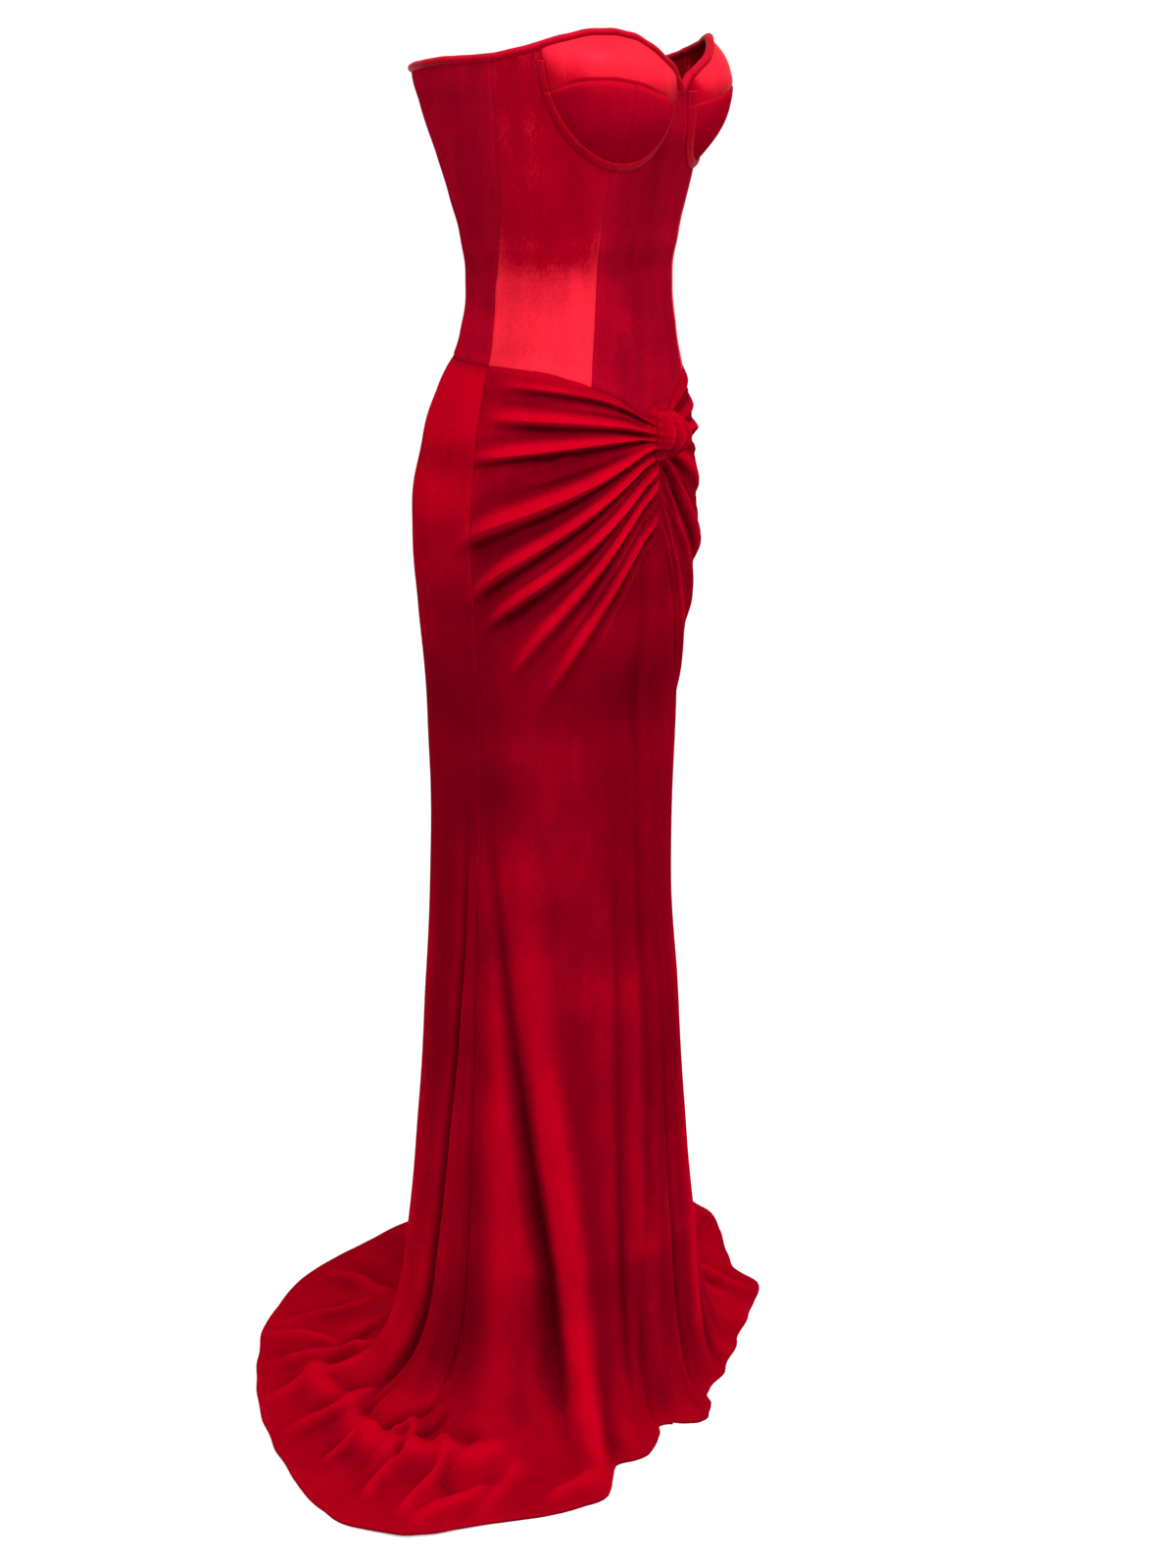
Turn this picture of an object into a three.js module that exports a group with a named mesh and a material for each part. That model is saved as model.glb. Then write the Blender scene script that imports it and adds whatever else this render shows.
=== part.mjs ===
import * as THREE from "three";

// Strapless mermaid gown in its worn, hollow form.
// Lengths are millimetres, the origin is the middle of the waist, +Z is up and -Y is the front.
// Heights in the tables are above the floor. Turns are degrees round the body's axis from the
// centre front toward the wearer's right, which is -X.

const WAIST_HEIGHT = 1133;
const BODICE_CLOTH = 2.6;
const SKIRT_CLOTH = 2;
const SEAM_GAP = 0.3;

// The level sections of the gown on a general figure
const SECTIONS = [
  // height, half width, front depth, back depth, squareness of the front, and of the back
  [1375, 143, 113, 141, 2, 2.5],
  [1335, 146, 127, 139, 2, 2.5],
  [1300, 143, 125, 132, 2, 2.4],
  [1250, 138, 113, 113, 2.1, 2.3],
  [1210, 132, 101, 98, 2.2, 2.3],
  [1170, 126, 92, 88, 2.2, 2.2],
  [1133, 122, 87, 84, 2.2, 2.2],
  [1085, 126, 90, 90, 2.2, 2.2],
  [1035, 143, 94, 112, 2.2, 2.2],
  [975, 158, 99, 131, 2.2, 2.2],
  [900, 166, 101, 141, 2.2, 2.2],
  [820, 159, 97, 138, 2.2, 2.2],
  [700, 145, 83, 133, 2.2, 2.2],
  [560, 139, 83, 136, 2.1, 2.1],
  [430, 142, 91, 140, 2.1, 2.1],
  [300, 151, 99, 146, 2, 2],
  [170, 162, 110, 154, 2, 2],
  [0, 186, 132, 178, 2, 2],
];

const NECKLINE = [
  // turn, height
  [0, 1316], [8, 1333], [18, 1347], [26, 1359], [34, 1367], [44, 1370],
  [59, 1365], [75, 1354], [95, 1346], [109, 1344], [123, 1340], [150, 1335], [180, 1334],
];

// The neckline hangs a little lower at the left side
const LEFT_DROP = { drop: 10, fullTurn: 70, backTurns: 60, reach: 240 };

const WAIST_SEAM = [
  // turn, height
  [0, 996], [11, 1004], [27, 1021], [44, 1035], [58, 1046], [75, 1055],
  [94, 1058], [130, 1061], [180, 1064],
];

const PRINCESS_SEAM = [
  // height, turn
  [1400, 39], [1243, 39], [1165, 42], [1103, 44], [1043, 47], [980, 49],
];

const SIDE_SEAM = [
  // height, turn
  [1400, 87], [1243, 87], [1150, 91], [1120, 93], [900, 92], [757, 93],
  [607, 96], [461, 99], [0, 100],
];

// The free front edge of the near wrap panel
const WRAP_EDGE = [
  // height, turn
  [1100, 4], [960, 4], [878, 3], [741, -2], [591, -6], [403, -8], [258, -2], [122, 10], [0, 18],
];
const WRAP_LIFT = 6.5;
const WRAP_LIFT_TURN = 14;
const WRAP_LIFT_SPREAD = 1.25;
const UNDERLAP_TURN = 3;

// The underwired cup
const CUP = {
  lowTurn: 34, innerTurns: 28, outerTurns: 34, lowHeight: 1243, highHeight: 1347,
  innerCurve: 2.6, outerCurve: 2, rise: 26, leanBack: 1.08, acrossPower: 0.8, upPower: 0.85,
};
const CUP_COLUMNS = [
  6.5, 7.6, 9.5, 12, 16, 21, 27, 33, 36, 39, 42, 48, 54, 59, 63, 65.5, 67, 67.7,
];
const FRONT_COLUMNS = [0, 3, 6.2];
const SIDE_COLUMNS = [68.6, 74, 80];
const CUP_BAND_SEAM = [
  // turn, height
  [0, 1293], [8, 1299], [16, 1305], [25, 1311], [36, 1320], [47, 1323], [64, 1314], [70, 1309],
];
const CUP_SPLIT_TURN = 34.5;
const CUP_SPLIT_GAP_TURN = 0.07;
const LEAST_CUP_TALL = 4;
const CASING = { halfWidth: 3.6, thickness: 1.8, clearance: 0.8, firstAngle: -76, lastAngle: 87, steps: 24 };
const BINDING = { radius: 4, clearance: 0.6, steps: 72, sides: 6 };
const TOP_RADIUS = 145;

// The folds gathered into the knot, as heights at three turns
const FOLD_TURNS = [6, 40, 80];
const NEAR_FOLDS = [
  // height at 6, 40 and 80 degrees, turn where it fades, rise, half width
  [996, 1024, 1041, 90, 3, 6],
  [988, 1002, 1011, 92, 7, 8],
  [983, 985, 977, 98, 6, 7],
  [979, 954, 914, 102, 10, 10],
  [968, 931, 868, 98, 8, 9],
  [955, 903, 830, 92, 8, 10],
  [938, 874, 768, 84, 6, 10],
  [905, 830, 700, 74, 4, 12],
];
const FAR_FOLDS = [
  [997, 1022, 1038, 90, 3, 8],
  [988, 1000, 1006, 92, 4, 9],
  [982, 984, 968, 100, 7, 9],
  [974, 948, 900, 96, 3, 12],
  [962, 896, 828, 96, 6, 15],
  [944, 850, 750, 86, 2, 15],
  [915, 790, 690, 78, 3, 16],
  [890, 775, 655, 66, 2, 16],
];
const FOLD_END = [860, 765, 610];
const GATHER = {
  knotWidth: 0.45, fullWidthTurn: 55, fadeTurns: 24, firstTurns: 14,
  underWidth: 0.5, valleyRise: 0.3, valleyDrop: 1.15, valleyWidth: 0.5,
};

// The flutes of the flared skirt
const FLUTE_TOP = 640;
const FLUTE_SWEEP = 1.3;
const FLUTE_GROWTH = 0.9;
const VALLEY_SHARPNESS = 1.4;
const FLUTES = [
  // turn at the hem, turn at the knee, rise at the hem, half width in degrees
  [-172, -170, 16, 9], [-155, -152, -13, 6], [-138, -134, 17, 10], [-119, -114, -15, 6],
  [-103, -104, 15, 8], [-88, -95, -12, 5], [-70, -80, 15, 9], [-50, -64, -12, 6], [-30, -42, 10, 8],
  [-12, -22, -6, 5], [22, 12, 6, 8], [34, 28, -5, 5], [46, 78, 10, 8], [55, 91, -14, 4.5],
  [78, 93, 14, 10], [98, 99, -11, 4], [109, 105, 12, 7], [127, 103, -28, 5], [139, 130, 16, 10],
  [155, 150, -12, 6], [170, 168, 14, 8],
];

// The hem on the floor
const FLOOR_START = 170;
const FLOOR = {
  bendHeight: 64, nearBend: 10, nearShare: 0.15, farBend: 34, farShare: 0.4, lift: 2,
  layStart: 0.45, layShare: 0.3, leastReach: 40, fullReach: 120, ridgeShare: 0.75, ridgeLoss: 0.8,
};
const HEM_CLEARANCE = 0.2;
const HEM = [
  // turn, radius
  [-180, 377], [-176, 389], [-168, 416], [-161, 441], [-157, 455], [-151, 479], [-146, 505],
  [-140, 530], [-130, 572], [-120, 596], [-112, 590], [-106, 552], [-101, 478], [-96, 406], [-91, 366],
  [-86, 350], [-80, 300], [-74, 258], [-60, 200], [-37, 161], [-16, 147], [-6, 160], [1, 168],
  [8, 176], [14, 168], [21, 150], [27, 172], [33, 199], [41, 224], [46, 230], [51, 304], [55, 322],
  [61, 345], [67, 364], [73, 391], [77, 414], [81, 423], [85, 423], [93, 406], [103, 374], [114, 348],
  [127, 330], [141, 324], [155, 331], [168, 352], [180, 377],
];

// Low folds of the train, lying across it
const TRAIN_FOLDS = [
  // first turn, last turn, drop where it starts, drop where it ends, rise, half width
  [68, 112, 56, 34, 11, 9],
  [84, 128, 30, 44, 9, 8],
  [118, 160, 40, 26, 12, 9],
  [-160, -112, 30, 48, 12, 9],
  [-124, -80, 46, 30, 10, 9],
];

const FAN_LIMIT = 92;
const SKIRT_GRID = {
  frontTurns: 20, backTurns: 19, fanSteps: 3, upperSteps: 9, lowerSteps: 16, lowerPower: 0.85, rowDrop: 1.5,
};
const BODICE_ROWS = 7;
const CUP_ROWS = 5;

const radians = (degrees) => (degrees * Math.PI) / 180;
const mix = (from, to, part) => from + (to - from) * part;
const clamp01 = (value) => Math.min(1, Math.max(0, value));
const smooth = (value) => clamp01(value) ** 2 * (3 - 2 * clamp01(value));
const bell = (distance) => Math.exp(-distance * distance);

// Reads a column of a table at a place in its first column, along a smooth curve
function read(table, place, column = 1) {
  const rows = table[0][0] < table[1][0] ? table : [...table].reverse();
  const last = rows.length - 1;
  if (place <= rows[0][0]) return rows[0][column];
  if (place >= rows[last][0]) return rows[last][column];
  let k = 0;
  while (place > rows[k + 1][0]) k += 1;
  const slope = (a, b) => (rows[b][column] - rows[a][column]) / (rows[b][0] - rows[a][0]);
  const step = rows[k + 1][0] - rows[k][0];
  const middle = slope(k, k + 1);
  const start = k > 0 ? limitedSlope(slope(k - 1, k), middle) : middle;
  const end = k + 1 < last ? limitedSlope(middle, slope(k + 1, k + 2)) : middle;
  const s = (place - rows[k][0]) / step;
  const from = rows[k][column] + start * step * s;
  const to = rows[k + 1][column] - end * step * (1 - s);
  return mix(from, to, s * s * (3 - 2 * s));
}

// The slope at a table row, level where the curve turns
function limitedSlope(before, after) {
  return before * after <= 0 ? 0 : (2 * before * after) / (before + after);
}

function bodyRadius(turn, height) {
  const side = Math.abs(Math.sin(radians(turn))) / read(SECTIONS, height, 1);
  const facing = Math.cos(radians(turn));
  const depth = read(SECTIONS, height, facing > 0 ? 2 : 3);
  const power = read(SECTIONS, height, facing > 0 ? 4 : 5);
  return (side ** power + (Math.abs(facing) / depth) ** power) ** (-1 / power);
}

// Height of the underwire at a turn
function wireHeight(turn) {
  const inner = turn < CUP.lowTurn;
  const part = Math.abs(turn - CUP.lowTurn) / (inner ? CUP.innerTurns : CUP.outerTurns);
  const curve = inner ? CUP.innerCurve : CUP.outerCurve;
  const drop = (1 - clamp01(part) ** curve) ** (1 / curve);
  return CUP.highHeight - (CUP.highHeight - CUP.lowHeight) * drop;
}

function cupRise(turn, height) {
  const angle = Math.abs(turnApart(turn, 0));
  const part = (angle - CUP.lowTurn) / (angle < CUP.lowTurn ? CUP.innerTurns : CUP.outerTurns);
  const above = height - wireHeight(angle);
  if (Math.abs(part) >= 1 || above <= 0) return 0;
  const across = (1 - part * part) ** CUP.acrossPower;
  const tall = read(NECKLINE, angle) - wireHeight(angle);
  const up = Math.min(above / (CUP.leanBack * Math.max(tall, 1)), 1);
  return CUP.rise * across * Math.sin(up * Math.PI) ** CUP.upPower;
}

// Height of a line given at the three fold turns
function foldHeight(heights, turn) {
  const [a, b, c] = FOLD_TURNS;
  const t = Math.max(turn, 0);
  const first = ((t - b) * (t - c)) / ((a - b) * (a - c));
  const second = ((t - a) * (t - c)) / ((b - a) * (b - c));
  const third = ((t - a) * (t - b)) / ((c - a) * (c - b));
  return heights[0] * first + heights[1] * second + heights[2] * third;
}

function gatherRise(turn, height) {
  const angle = Math.abs(turn);
  let rise = 0;
  for (const [near, middle, far, fade, fullRise, halfWidth] of turn > 0 ? NEAR_FOLDS : FAR_FOLDS) {
    const width = halfWidth * mix(GATHER.knotWidth, 1, clamp01(angle / GATHER.fullWidthTurn));
    const above = height - foldHeight([near, middle, far], angle);
    const strength = fullRise * smooth((fade - angle) / GATHER.fadeTurns) * smooth(angle / GATHER.firstTurns);
    const crest = bell(above / (above > 0 ? width : GATHER.underWidth * width));
    const valley = bell((above + GATHER.valleyDrop * width) / (GATHER.valleyWidth * width));
    rise += strength * (crest - GATHER.valleyRise * valley);
  }
  return rise;
}

const turnApart = (a, b) => ((a - b + 540) % 360) - 180;

function fluteRise(turn, height) {
  const down = clamp01((FLUTE_TOP - height) / FLUTE_TOP);
  let rise = 0;
  for (const [hemTurn, kneeTurn, hemRise, halfWidth] of FLUTES) {
    const middle = mix(kneeTurn, hemTurn, down ** FLUTE_SWEEP);
    const apart = Math.abs(turnApart(turn, middle)) / halfWidth;
    rise += hemRise * (hemRise > 0 ? bell(apart) : Math.exp(-VALLEY_SHARPNESS * apart));
  }
  return rise * down ** FLUTE_GROWTH;
}

function trainRise(turn, height) {
  let rise = 0;
  for (const [first, last, start, end, fullRise, halfWidth] of TRAIN_FOLDS) {
    const part = (turn - first) / (last - first);
    if (part <= 0 || part >= 1) continue;
    rise += fullRise * Math.sin(part * Math.PI) * bell((height - mix(start, end, part)) / halfWidth);
  }
  return rise;
}

// How far a point of the bodice hangs lower at the left side
function leftDrop(turn, height) {
  const aside = -turnApart(turn, 0);
  const onSide = smooth(aside / LEFT_DROP.fullTurn) * smooth((180 - aside) / LEFT_DROP.backTurns);
  return LEFT_DROP.drop * onSide * clamp01((height - WAIST_HEIGHT) / LEFT_DROP.reach);
}

// A point of the gown's outer face. Below FLOOR_START the height is the drop that is left along
// the cloth, which bends outward and lies on the floor.
function gownPoint(turn, height, out = 0) {
  const flute = fluteRise(turn, height);
  const rise = out + cupRise(turn, height) + gatherRise(turn, height) + flute;
  const aside = -Math.sin(radians(turn));
  const ahead = -Math.cos(radians(turn));
  let radius = bodyRadius(turn, Math.max(height, FLOOR_START)) + rise;
  let level = height - leftDrop(turn, height);
  if (height < FLOOR_START) {
    const along = 1 - height / FLOOR_START;
    const hem = read(HEM, turn) + out;
    const reach = Math.max(hem - radius, 0);
    const nearBend = radius + Math.min(FLOOR.nearBend, FLOOR.nearShare * reach);
    const farBend = radius + Math.min(FLOOR.farBend, FLOOR.farShare * reach);
    const far = smooth((reach - FLOOR.leastReach) / FLOOR.fullReach);
    const lying = far * smooth((along - FLOOR.layStart) / FLOOR.layShare);
    const ridge = FLOOR.ridgeShare * Math.max(0, flute) * (1 - FLOOR.ridgeLoss * smooth(2 * along - 1));
    const hemLevel = SKIRT_CLOTH + HEM_CLEARANCE;
    level = bezier([FLOOR_START, FLOOR.bendHeight, SKIRT_CLOTH + FLOOR.lift, hemLevel], along);
    level += lying * (trainRise(turn, height) + ridge);
    radius = bezier([radius, nearBend, farBend, hem], along);
  }
  return new THREE.Vector3(aside * radius, ahead * radius, level - WAIST_HEIGHT);
}

function bezier([a, b, c, d], s) {
  const r = 1 - s;
  return a * r ** 3 + 3 * b * r * r * s + 3 * c * r * s * s + d * s ** 3;
}

// How far the near wrap panel stands over the far one
function wrapLift(turn, height) {
  const past = turn - read(WRAP_EDGE, height);
  return WRAP_LIFT * smooth(WRAP_LIFT_SPREAD * (1 - past / WRAP_LIFT_TURN));
}

const plainFace = (turn, height) => gownPoint(turn, height);
const wrapFace = (turn, height) => gownPoint(turn, height, wrapLift(turn, height));

function faceNormal(face, turn, height) {
  const [turnStep, heightStep] = [0.4, 1.2];
  const across = face(turn - turnStep, height).sub(face(turn + turnStep, height));
  const upward = face(turn, height + heightStep).sub(face(turn, Math.max(height - heightStep, 0)));
  return across.cross(upward).normalize();
}

// The turn at half a seam gap from a seam, inside the panel
function pastSeam(face, seamTurn, height, direction) {
  const from = face(seamTurn, height);
  const step = 0.5;
  const width = face(seamTurn + direction * step, height).distanceTo(from);
  return seamTurn + (direction * step * SEAM_GAP) / (2 * width);
}

// A closed wall of cloth. Each corner gives its turn and height, and the cloth lies inside.
function wall(face, corners, thickness) {
  const outer = [];
  const inner = [];
  for (const row of corners) {
    for (const [turn, height] of row) {
      const point = face(turn, height);
      outer.push(point);
      inner.push(point.clone().addScaledVector(faceNormal(face, turn, height), -thickness));
    }
  }
  return shell(outer, inner, corners.length, corners[0].length);
}

// Joins two like grids of points into one closed body
function shell(outer, inner, rows, columns) {
  const points = [...outer, ...inner];
  const faces = [];
  const quad = (a, b, c, d) => faces.push(a, b, c, a, c, d);
  const top = (i, j) => i * columns + j;
  const under = (i, j) => rows * columns + top(i, j);
  for (let i = 0; i < rows - 1; i += 1) {
    for (let j = 0; j < columns - 1; j += 1) {
      quad(top(i, j), top(i, j + 1), top(i + 1, j + 1), top(i + 1, j));
      quad(under(i, j), under(i + 1, j), under(i + 1, j + 1), under(i, j + 1));
    }
    quad(top(i, 0), top(i + 1, 0), under(i + 1, 0), under(i, 0));
    quad(top(i, columns - 1), under(i, columns - 1), under(i + 1, columns - 1), top(i + 1, columns - 1));
  }
  for (let j = 0; j < columns - 1; j += 1) {
    quad(top(0, j), under(0, j), under(0, j + 1), top(0, j + 1));
    quad(top(rows - 1, j), top(rows - 1, j + 1), under(rows - 1, j + 1), under(rows - 1, j));
  }
  return solid(points, faces);
}

function solid(points, faces) {
  let volume = 0;
  for (let k = 0; k < faces.length; k += 3) {
    const [a, b, c] = [points[faces[k]], points[faces[k + 1]], points[faces[k + 2]]];
    volume += a.dot(b.clone().cross(c));
  }
  if (volume < 0) faces.reverse();
  const geometry = new THREE.BufferGeometry();
  geometry.setAttribute("position", new THREE.Float32BufferAttribute(points.flatMap((p) => p.toArray()), 3));
  geometry.setIndex(faces);
  geometry.computeVertexNormals();
  return geometry;
}

// Mirrors grid corners to the wearer's left
const mirrored = (corners, side) => corners.map((row) => row.map(([turn, height]) => [side * turn, height]));

const gown = new THREE.Group();
gown.name = "mermaid_gown";

function add(name, geometry, look) {
  const material = new THREE.MeshStandardMaterial({ ...look, metalness: 0 });
  material.name = name;
  const mesh = new THREE.Mesh(geometry, material);
  mesh.name = name;
  gown.add(mesh);
}

const BODICE_LOOK = { color: 0xc8051f, roughness: 0.42 };
const BAND_LOOK = { color: 0xd40a28, roughness: 0.4 };
const TRIM_LOOK = { color: 0xb8041c, roughness: 0.5 };
const SKIRT_LOOK = { color: 0xa0031a, roughness: 0.62 };

const rowsBetween = (low, high, count) =>
  Array.from({ length: count + 1 }, (_, i) => mix(low, high, i / count));

// The top edge of a panel under the binding, lower where the neckline slopes
function edgeUnderBinding(turn) {
  const slope = (read(NECKLINE, turn + 2) - read(NECKLINE, turn)) / (radians(2) * TOP_RADIUS);
  return read(NECKLINE, turn) - (BINDING.radius + BINDING.clearance) * Math.hypot(1, slope) - BINDING.radius;
}

// Corners of a bodice panel, where each column keeps its share of the way between two seams
function bodiceCorners(shares, seamTurns, topHeight, rows) {
  const columns = shares.map((share, j) => {
    const first = j === 0;
    const last = j === shares.length - 1;
    const turnAt = (height) => {
      const [from, to] = seamTurns(height);
      const turn = mix(from, to, share);
      if (first) return pastSeam(plainFace, turn, height, 1);
      return last ? pastSeam(plainFace, turn, height, -1) : turn;
    };
    const high = topHeight(turnAt(CUP.lowHeight));
    let low = read(WAIST_SEAM, turnAt(1040));
    low = read(WAIST_SEAM, turnAt(low)) + SEAM_GAP / 2;
    return rowsBetween(low, high, rows).map((height) => [turnAt(height), height]);
  });
  return columns[0].map((_, i) => columns.map((column) => column[i]));
}

function frontTop(turn) {
  return turn < CUP_COLUMNS[0] ? edgeUnderBinding(turn) : wireHeight(turn) - SEAM_GAP / 2;
}

function sideTop(turn) {
  const underCup = turn < CUP_COLUMNS[CUP_COLUMNS.length - 1] + 0.1;
  return underCup ? wireHeight(turn) - SEAM_GAP / 2 : edgeUnderBinding(turn);
}

function addBodice(side, hand) {
  const split = read(PRINCESS_SEAM, CUP.lowHeight);
  const sideTurn = read(SIDE_SEAM, CUP.lowHeight);
  const frontTurns = [...FRONT_COLUMNS, ...CUP_COLUMNS.filter((turn) => turn <= split)];
  const frontShares = frontTurns.map((turn) => turn / split);
  const front = bodiceCorners(frontShares, (h) => [0, read(PRINCESS_SEAM, h)], frontTop, BODICE_ROWS);
  const sideTurns = [...CUP_COLUMNS.filter((turn) => turn >= split), ...SIDE_COLUMNS, sideTurn];
  const sideShares = sideTurns.map((turn) => (turn - split) / (sideTurn - split));
  const seams = (h) => [read(PRINCESS_SEAM, h), read(SIDE_SEAM, h)];
  const flank = bodiceCorners(sideShares, seams, sideTop, BODICE_ROWS);
  const backShares = rowsBetween(0, 1, 11);
  const back = bodiceCorners(backShares, (h) => [read(SIDE_SEAM, h), 180], edgeUnderBinding, BODICE_ROWS);
  add(`bodice_front_${hand}`, wall(plainFace, mirrored(front, side), BODICE_CLOTH), BODICE_LOOK);
  add(`bodice_side_${hand}`, wall(plainFace, mirrored(flank, side), BODICE_CLOTH), BODICE_LOOK);
  add(`bodice_back_${hand}`, wall(plainFace, mirrored(back, side), BODICE_CLOTH), BODICE_LOOK);
}

// Corners of a cup piece between two height functions, on the shared columns
function cupCorners(turns, low, high) {
  return Array.from({ length: CUP_ROWS + 1 }, (_, i) =>
    turns.map((turn) => [turn, mix(low(turn), high(turn), i / CUP_ROWS)]));
}

function addCup(side, hand) {
  const half = SEAM_GAP / 2;
  const seam = (turn) => read(CUP_BAND_SEAM, turn);
  const bandLow = (turn) => Math.max(seam(turn), wireHeight(turn)) + half;
  const wire = (turn) => wireHeight(turn) + half;
  const underBand = (turn) => seam(turn) - half;
  const tall = (turn) => underBand(turn) - wire(turn) > LEAST_CUP_TALL;
  const columns = CUP_COLUMNS.filter(tall);
  const [innerEdge, outerEdge] = [CUP_SPLIT_TURN - CUP_SPLIT_GAP_TURN, CUP_SPLIT_TURN + CUP_SPLIT_GAP_TURN];
  const innerTurns = [...columns.filter((turn) => turn < CUP_SPLIT_TURN), innerEdge];
  const outerTurns = [outerEdge, ...columns.filter((turn) => turn > CUP_SPLIT_TURN)];
  const pieces = {
    cup_band: [cupCorners(CUP_COLUMNS, bandLow, edgeUnderBinding), BAND_LOOK],
    cup_inner: [cupCorners(innerTurns, wire, underBand), BODICE_LOOK],
    cup_outer: [cupCorners(outerTurns, wire, underBand), BODICE_LOOK],
  };
  for (const [name, [corners, look]] of Object.entries(pieces)) {
    add(`${name}_${hand}`, wall(plainFace, mirrored(corners, side), BODICE_CLOTH), look);
  }
}

// The raised casing follows the wire and lies over the edges of the cup and the panels
function addCasing(side, hand) {
  const { steps } = CASING;
  const outer = [];
  const inner = [];
  const spans = [-1, 0, 1];
  for (let i = 0; i <= steps; i += 1) {
    const here = wirePlace(i / steps);
    const ahead = wirePlace(i / steps + 0.01);
    const behind = wirePlace(i / steps - 0.01);
    const radius = bodyRadius(here[0], here[1]);
    const run = [radians(ahead[0] - behind[0]) * radius, ahead[1] - behind[1]];
    const length = Math.hypot(...run);
    for (const span of spans) {
      const offset = span * CASING.halfWidth;
      const turn = here[0] - (run[1] / length) * (offset / radians(1) / radius);
      const height = here[1] + (run[0] / length) * offset;
      const swell = CASING.thickness * (0.5 + 0.5 * Math.cos((span * Math.PI) / 2));
      const normal = faceNormal(plainFace, side * turn, height);
      const point = plainFace(side * turn, height);
      inner.push(point.clone().addScaledVector(normal, CASING.clearance));
      outer.push(point.clone().addScaledVector(normal, CASING.clearance + swell));
    }
  }
  add(`wire_casing_${hand}`, shell(outer, inner, steps + 1, spans.length), TRIM_LOOK);
}

// Turn and height along the wire, from the inner end at 0 to the outer end at 1
function wirePlace(part) {
  const angle = mix(CASING.firstAngle, CASING.lastAngle, part);
  const inner = angle < 0;
  const curve = inner ? CUP.innerCurve : CUP.outerCurve;
  const across = Math.abs(Math.sin(radians(angle))) ** (2 / curve);
  const turn = CUP.lowTurn + (inner ? -CUP.innerTurns : CUP.outerTurns) * across;
  return [turn, wireHeight(turn)];
}

// The rolled edge round the neckline
function addBinding() {
  const { steps, sides } = BINDING;
  const points = [];
  const place = (turn) => gownPoint(turn, read(NECKLINE, Math.abs(turn)) - BINDING.radius, -1);
  for (let i = 0; i < steps; i += 1) {
    const turn = (i * 360) / steps - 180;
    const centre = place(turn);
    const along = place(turn + 1).sub(place(turn - 1)).normalize();
    const out = new THREE.Vector3(-Math.sin(radians(turn)), -Math.cos(radians(turn)), 0);
    out.addScaledVector(along, -out.dot(along)).normalize();
    const up = along.clone().cross(out).normalize();
    for (let k = 0; k < sides; k += 1) {
      const angle = (k * 2 * Math.PI) / sides;
      const offset = out.clone().multiplyScalar(Math.cos(angle)).addScaledVector(up, Math.sin(angle));
      points.push(centre.clone().addScaledVector(offset, BINDING.radius));
    }
  }
  const faces = [];
  for (let i = 0; i < steps; i += 1) {
    for (let k = 0; k < sides; k += 1) {
      const [a, b] = [i * sides + k, i * sides + ((k + 1) % sides)];
      const [c, d] = [((i + 1) % steps) * sides + ((k + 1) % sides), ((i + 1) % steps) * sides + k];
      faces.push(a, b, c, a, c, d);
    }
  }
  add("neckline_binding", solid(points, faces), TRIM_LOOK);
}

// Heights at the fold turns for each row of the gathered part, from the waist seam down
function fanRows(folds) {
  const seam = FOLD_TURNS.map((turn) => read(WAIST_SEAM, turn));
  const lines = [seam, ...folds.map((fold) => fold.slice(0, 3)), FOLD_END];
  const rows = [];
  for (let k = 0; k < lines.length - 1; k += 1) {
    for (let step = 0; step < SKIRT_GRID.fanSteps; step += 1) {
      const part = step / SKIRT_GRID.fanSteps;
      rows.push(lines[k].map((height, n) => mix(height, lines[k + 1][n], part)));
    }
  }
  return rows;
}

// Height of a row between the gathers and the hem
function lowerHeight(turn, row) {
  const start = foldHeight(FOLD_END, Math.min(Math.abs(turn), FAN_LIMIT));
  return mix(start, 0, (row / SKIRT_GRID.lowerSteps) ** SKIRT_GRID.lowerPower);
}

// A front skirt panel spans from its free edge to the side seam
function frontCorners(face, side, edgeTurn) {
  const fan = fanRows(side > 0 ? NEAR_FOLDS : FAR_FOLDS);
  const rows = fan.map((heights, i) => (turn) => {
    const angle = Math.min(Math.abs(turn), FAN_LIMIT);
    const seam = read(WAIST_SEAM, angle) - SEAM_GAP / 2 - KNOT.seamDip * bell(angle / KNOT.dipTurn);
    return i === 0 ? seam : Math.min(foldHeight(heights, angle), seam - SKIRT_GRID.rowDrop * i);
  });
  for (let i = 0; i <= SKIRT_GRID.lowerSteps; i += 1) {
    rows.push((turn) => lowerHeight(turn, i));
  }
  return rows.map((heightAt) => {
    const row = [];
    for (let j = 0; j <= SKIRT_GRID.frontTurns; j += 1) {
      const share = j / SKIRT_GRID.frontTurns;
      let height = heightAt(60 * share + 20);
      let turn = 0;
      for (let pass = 0; pass < 6; pass += 1) {
        const seamTurn = pastSeam(face, side * read(SIDE_SEAM, height), height, -side);
        turn = mix(edgeTurn(height), seamTurn, share);
        height = heightAt(turn);
      }
      row.push([turn, height]);
    }
    return row;
  });
}

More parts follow.
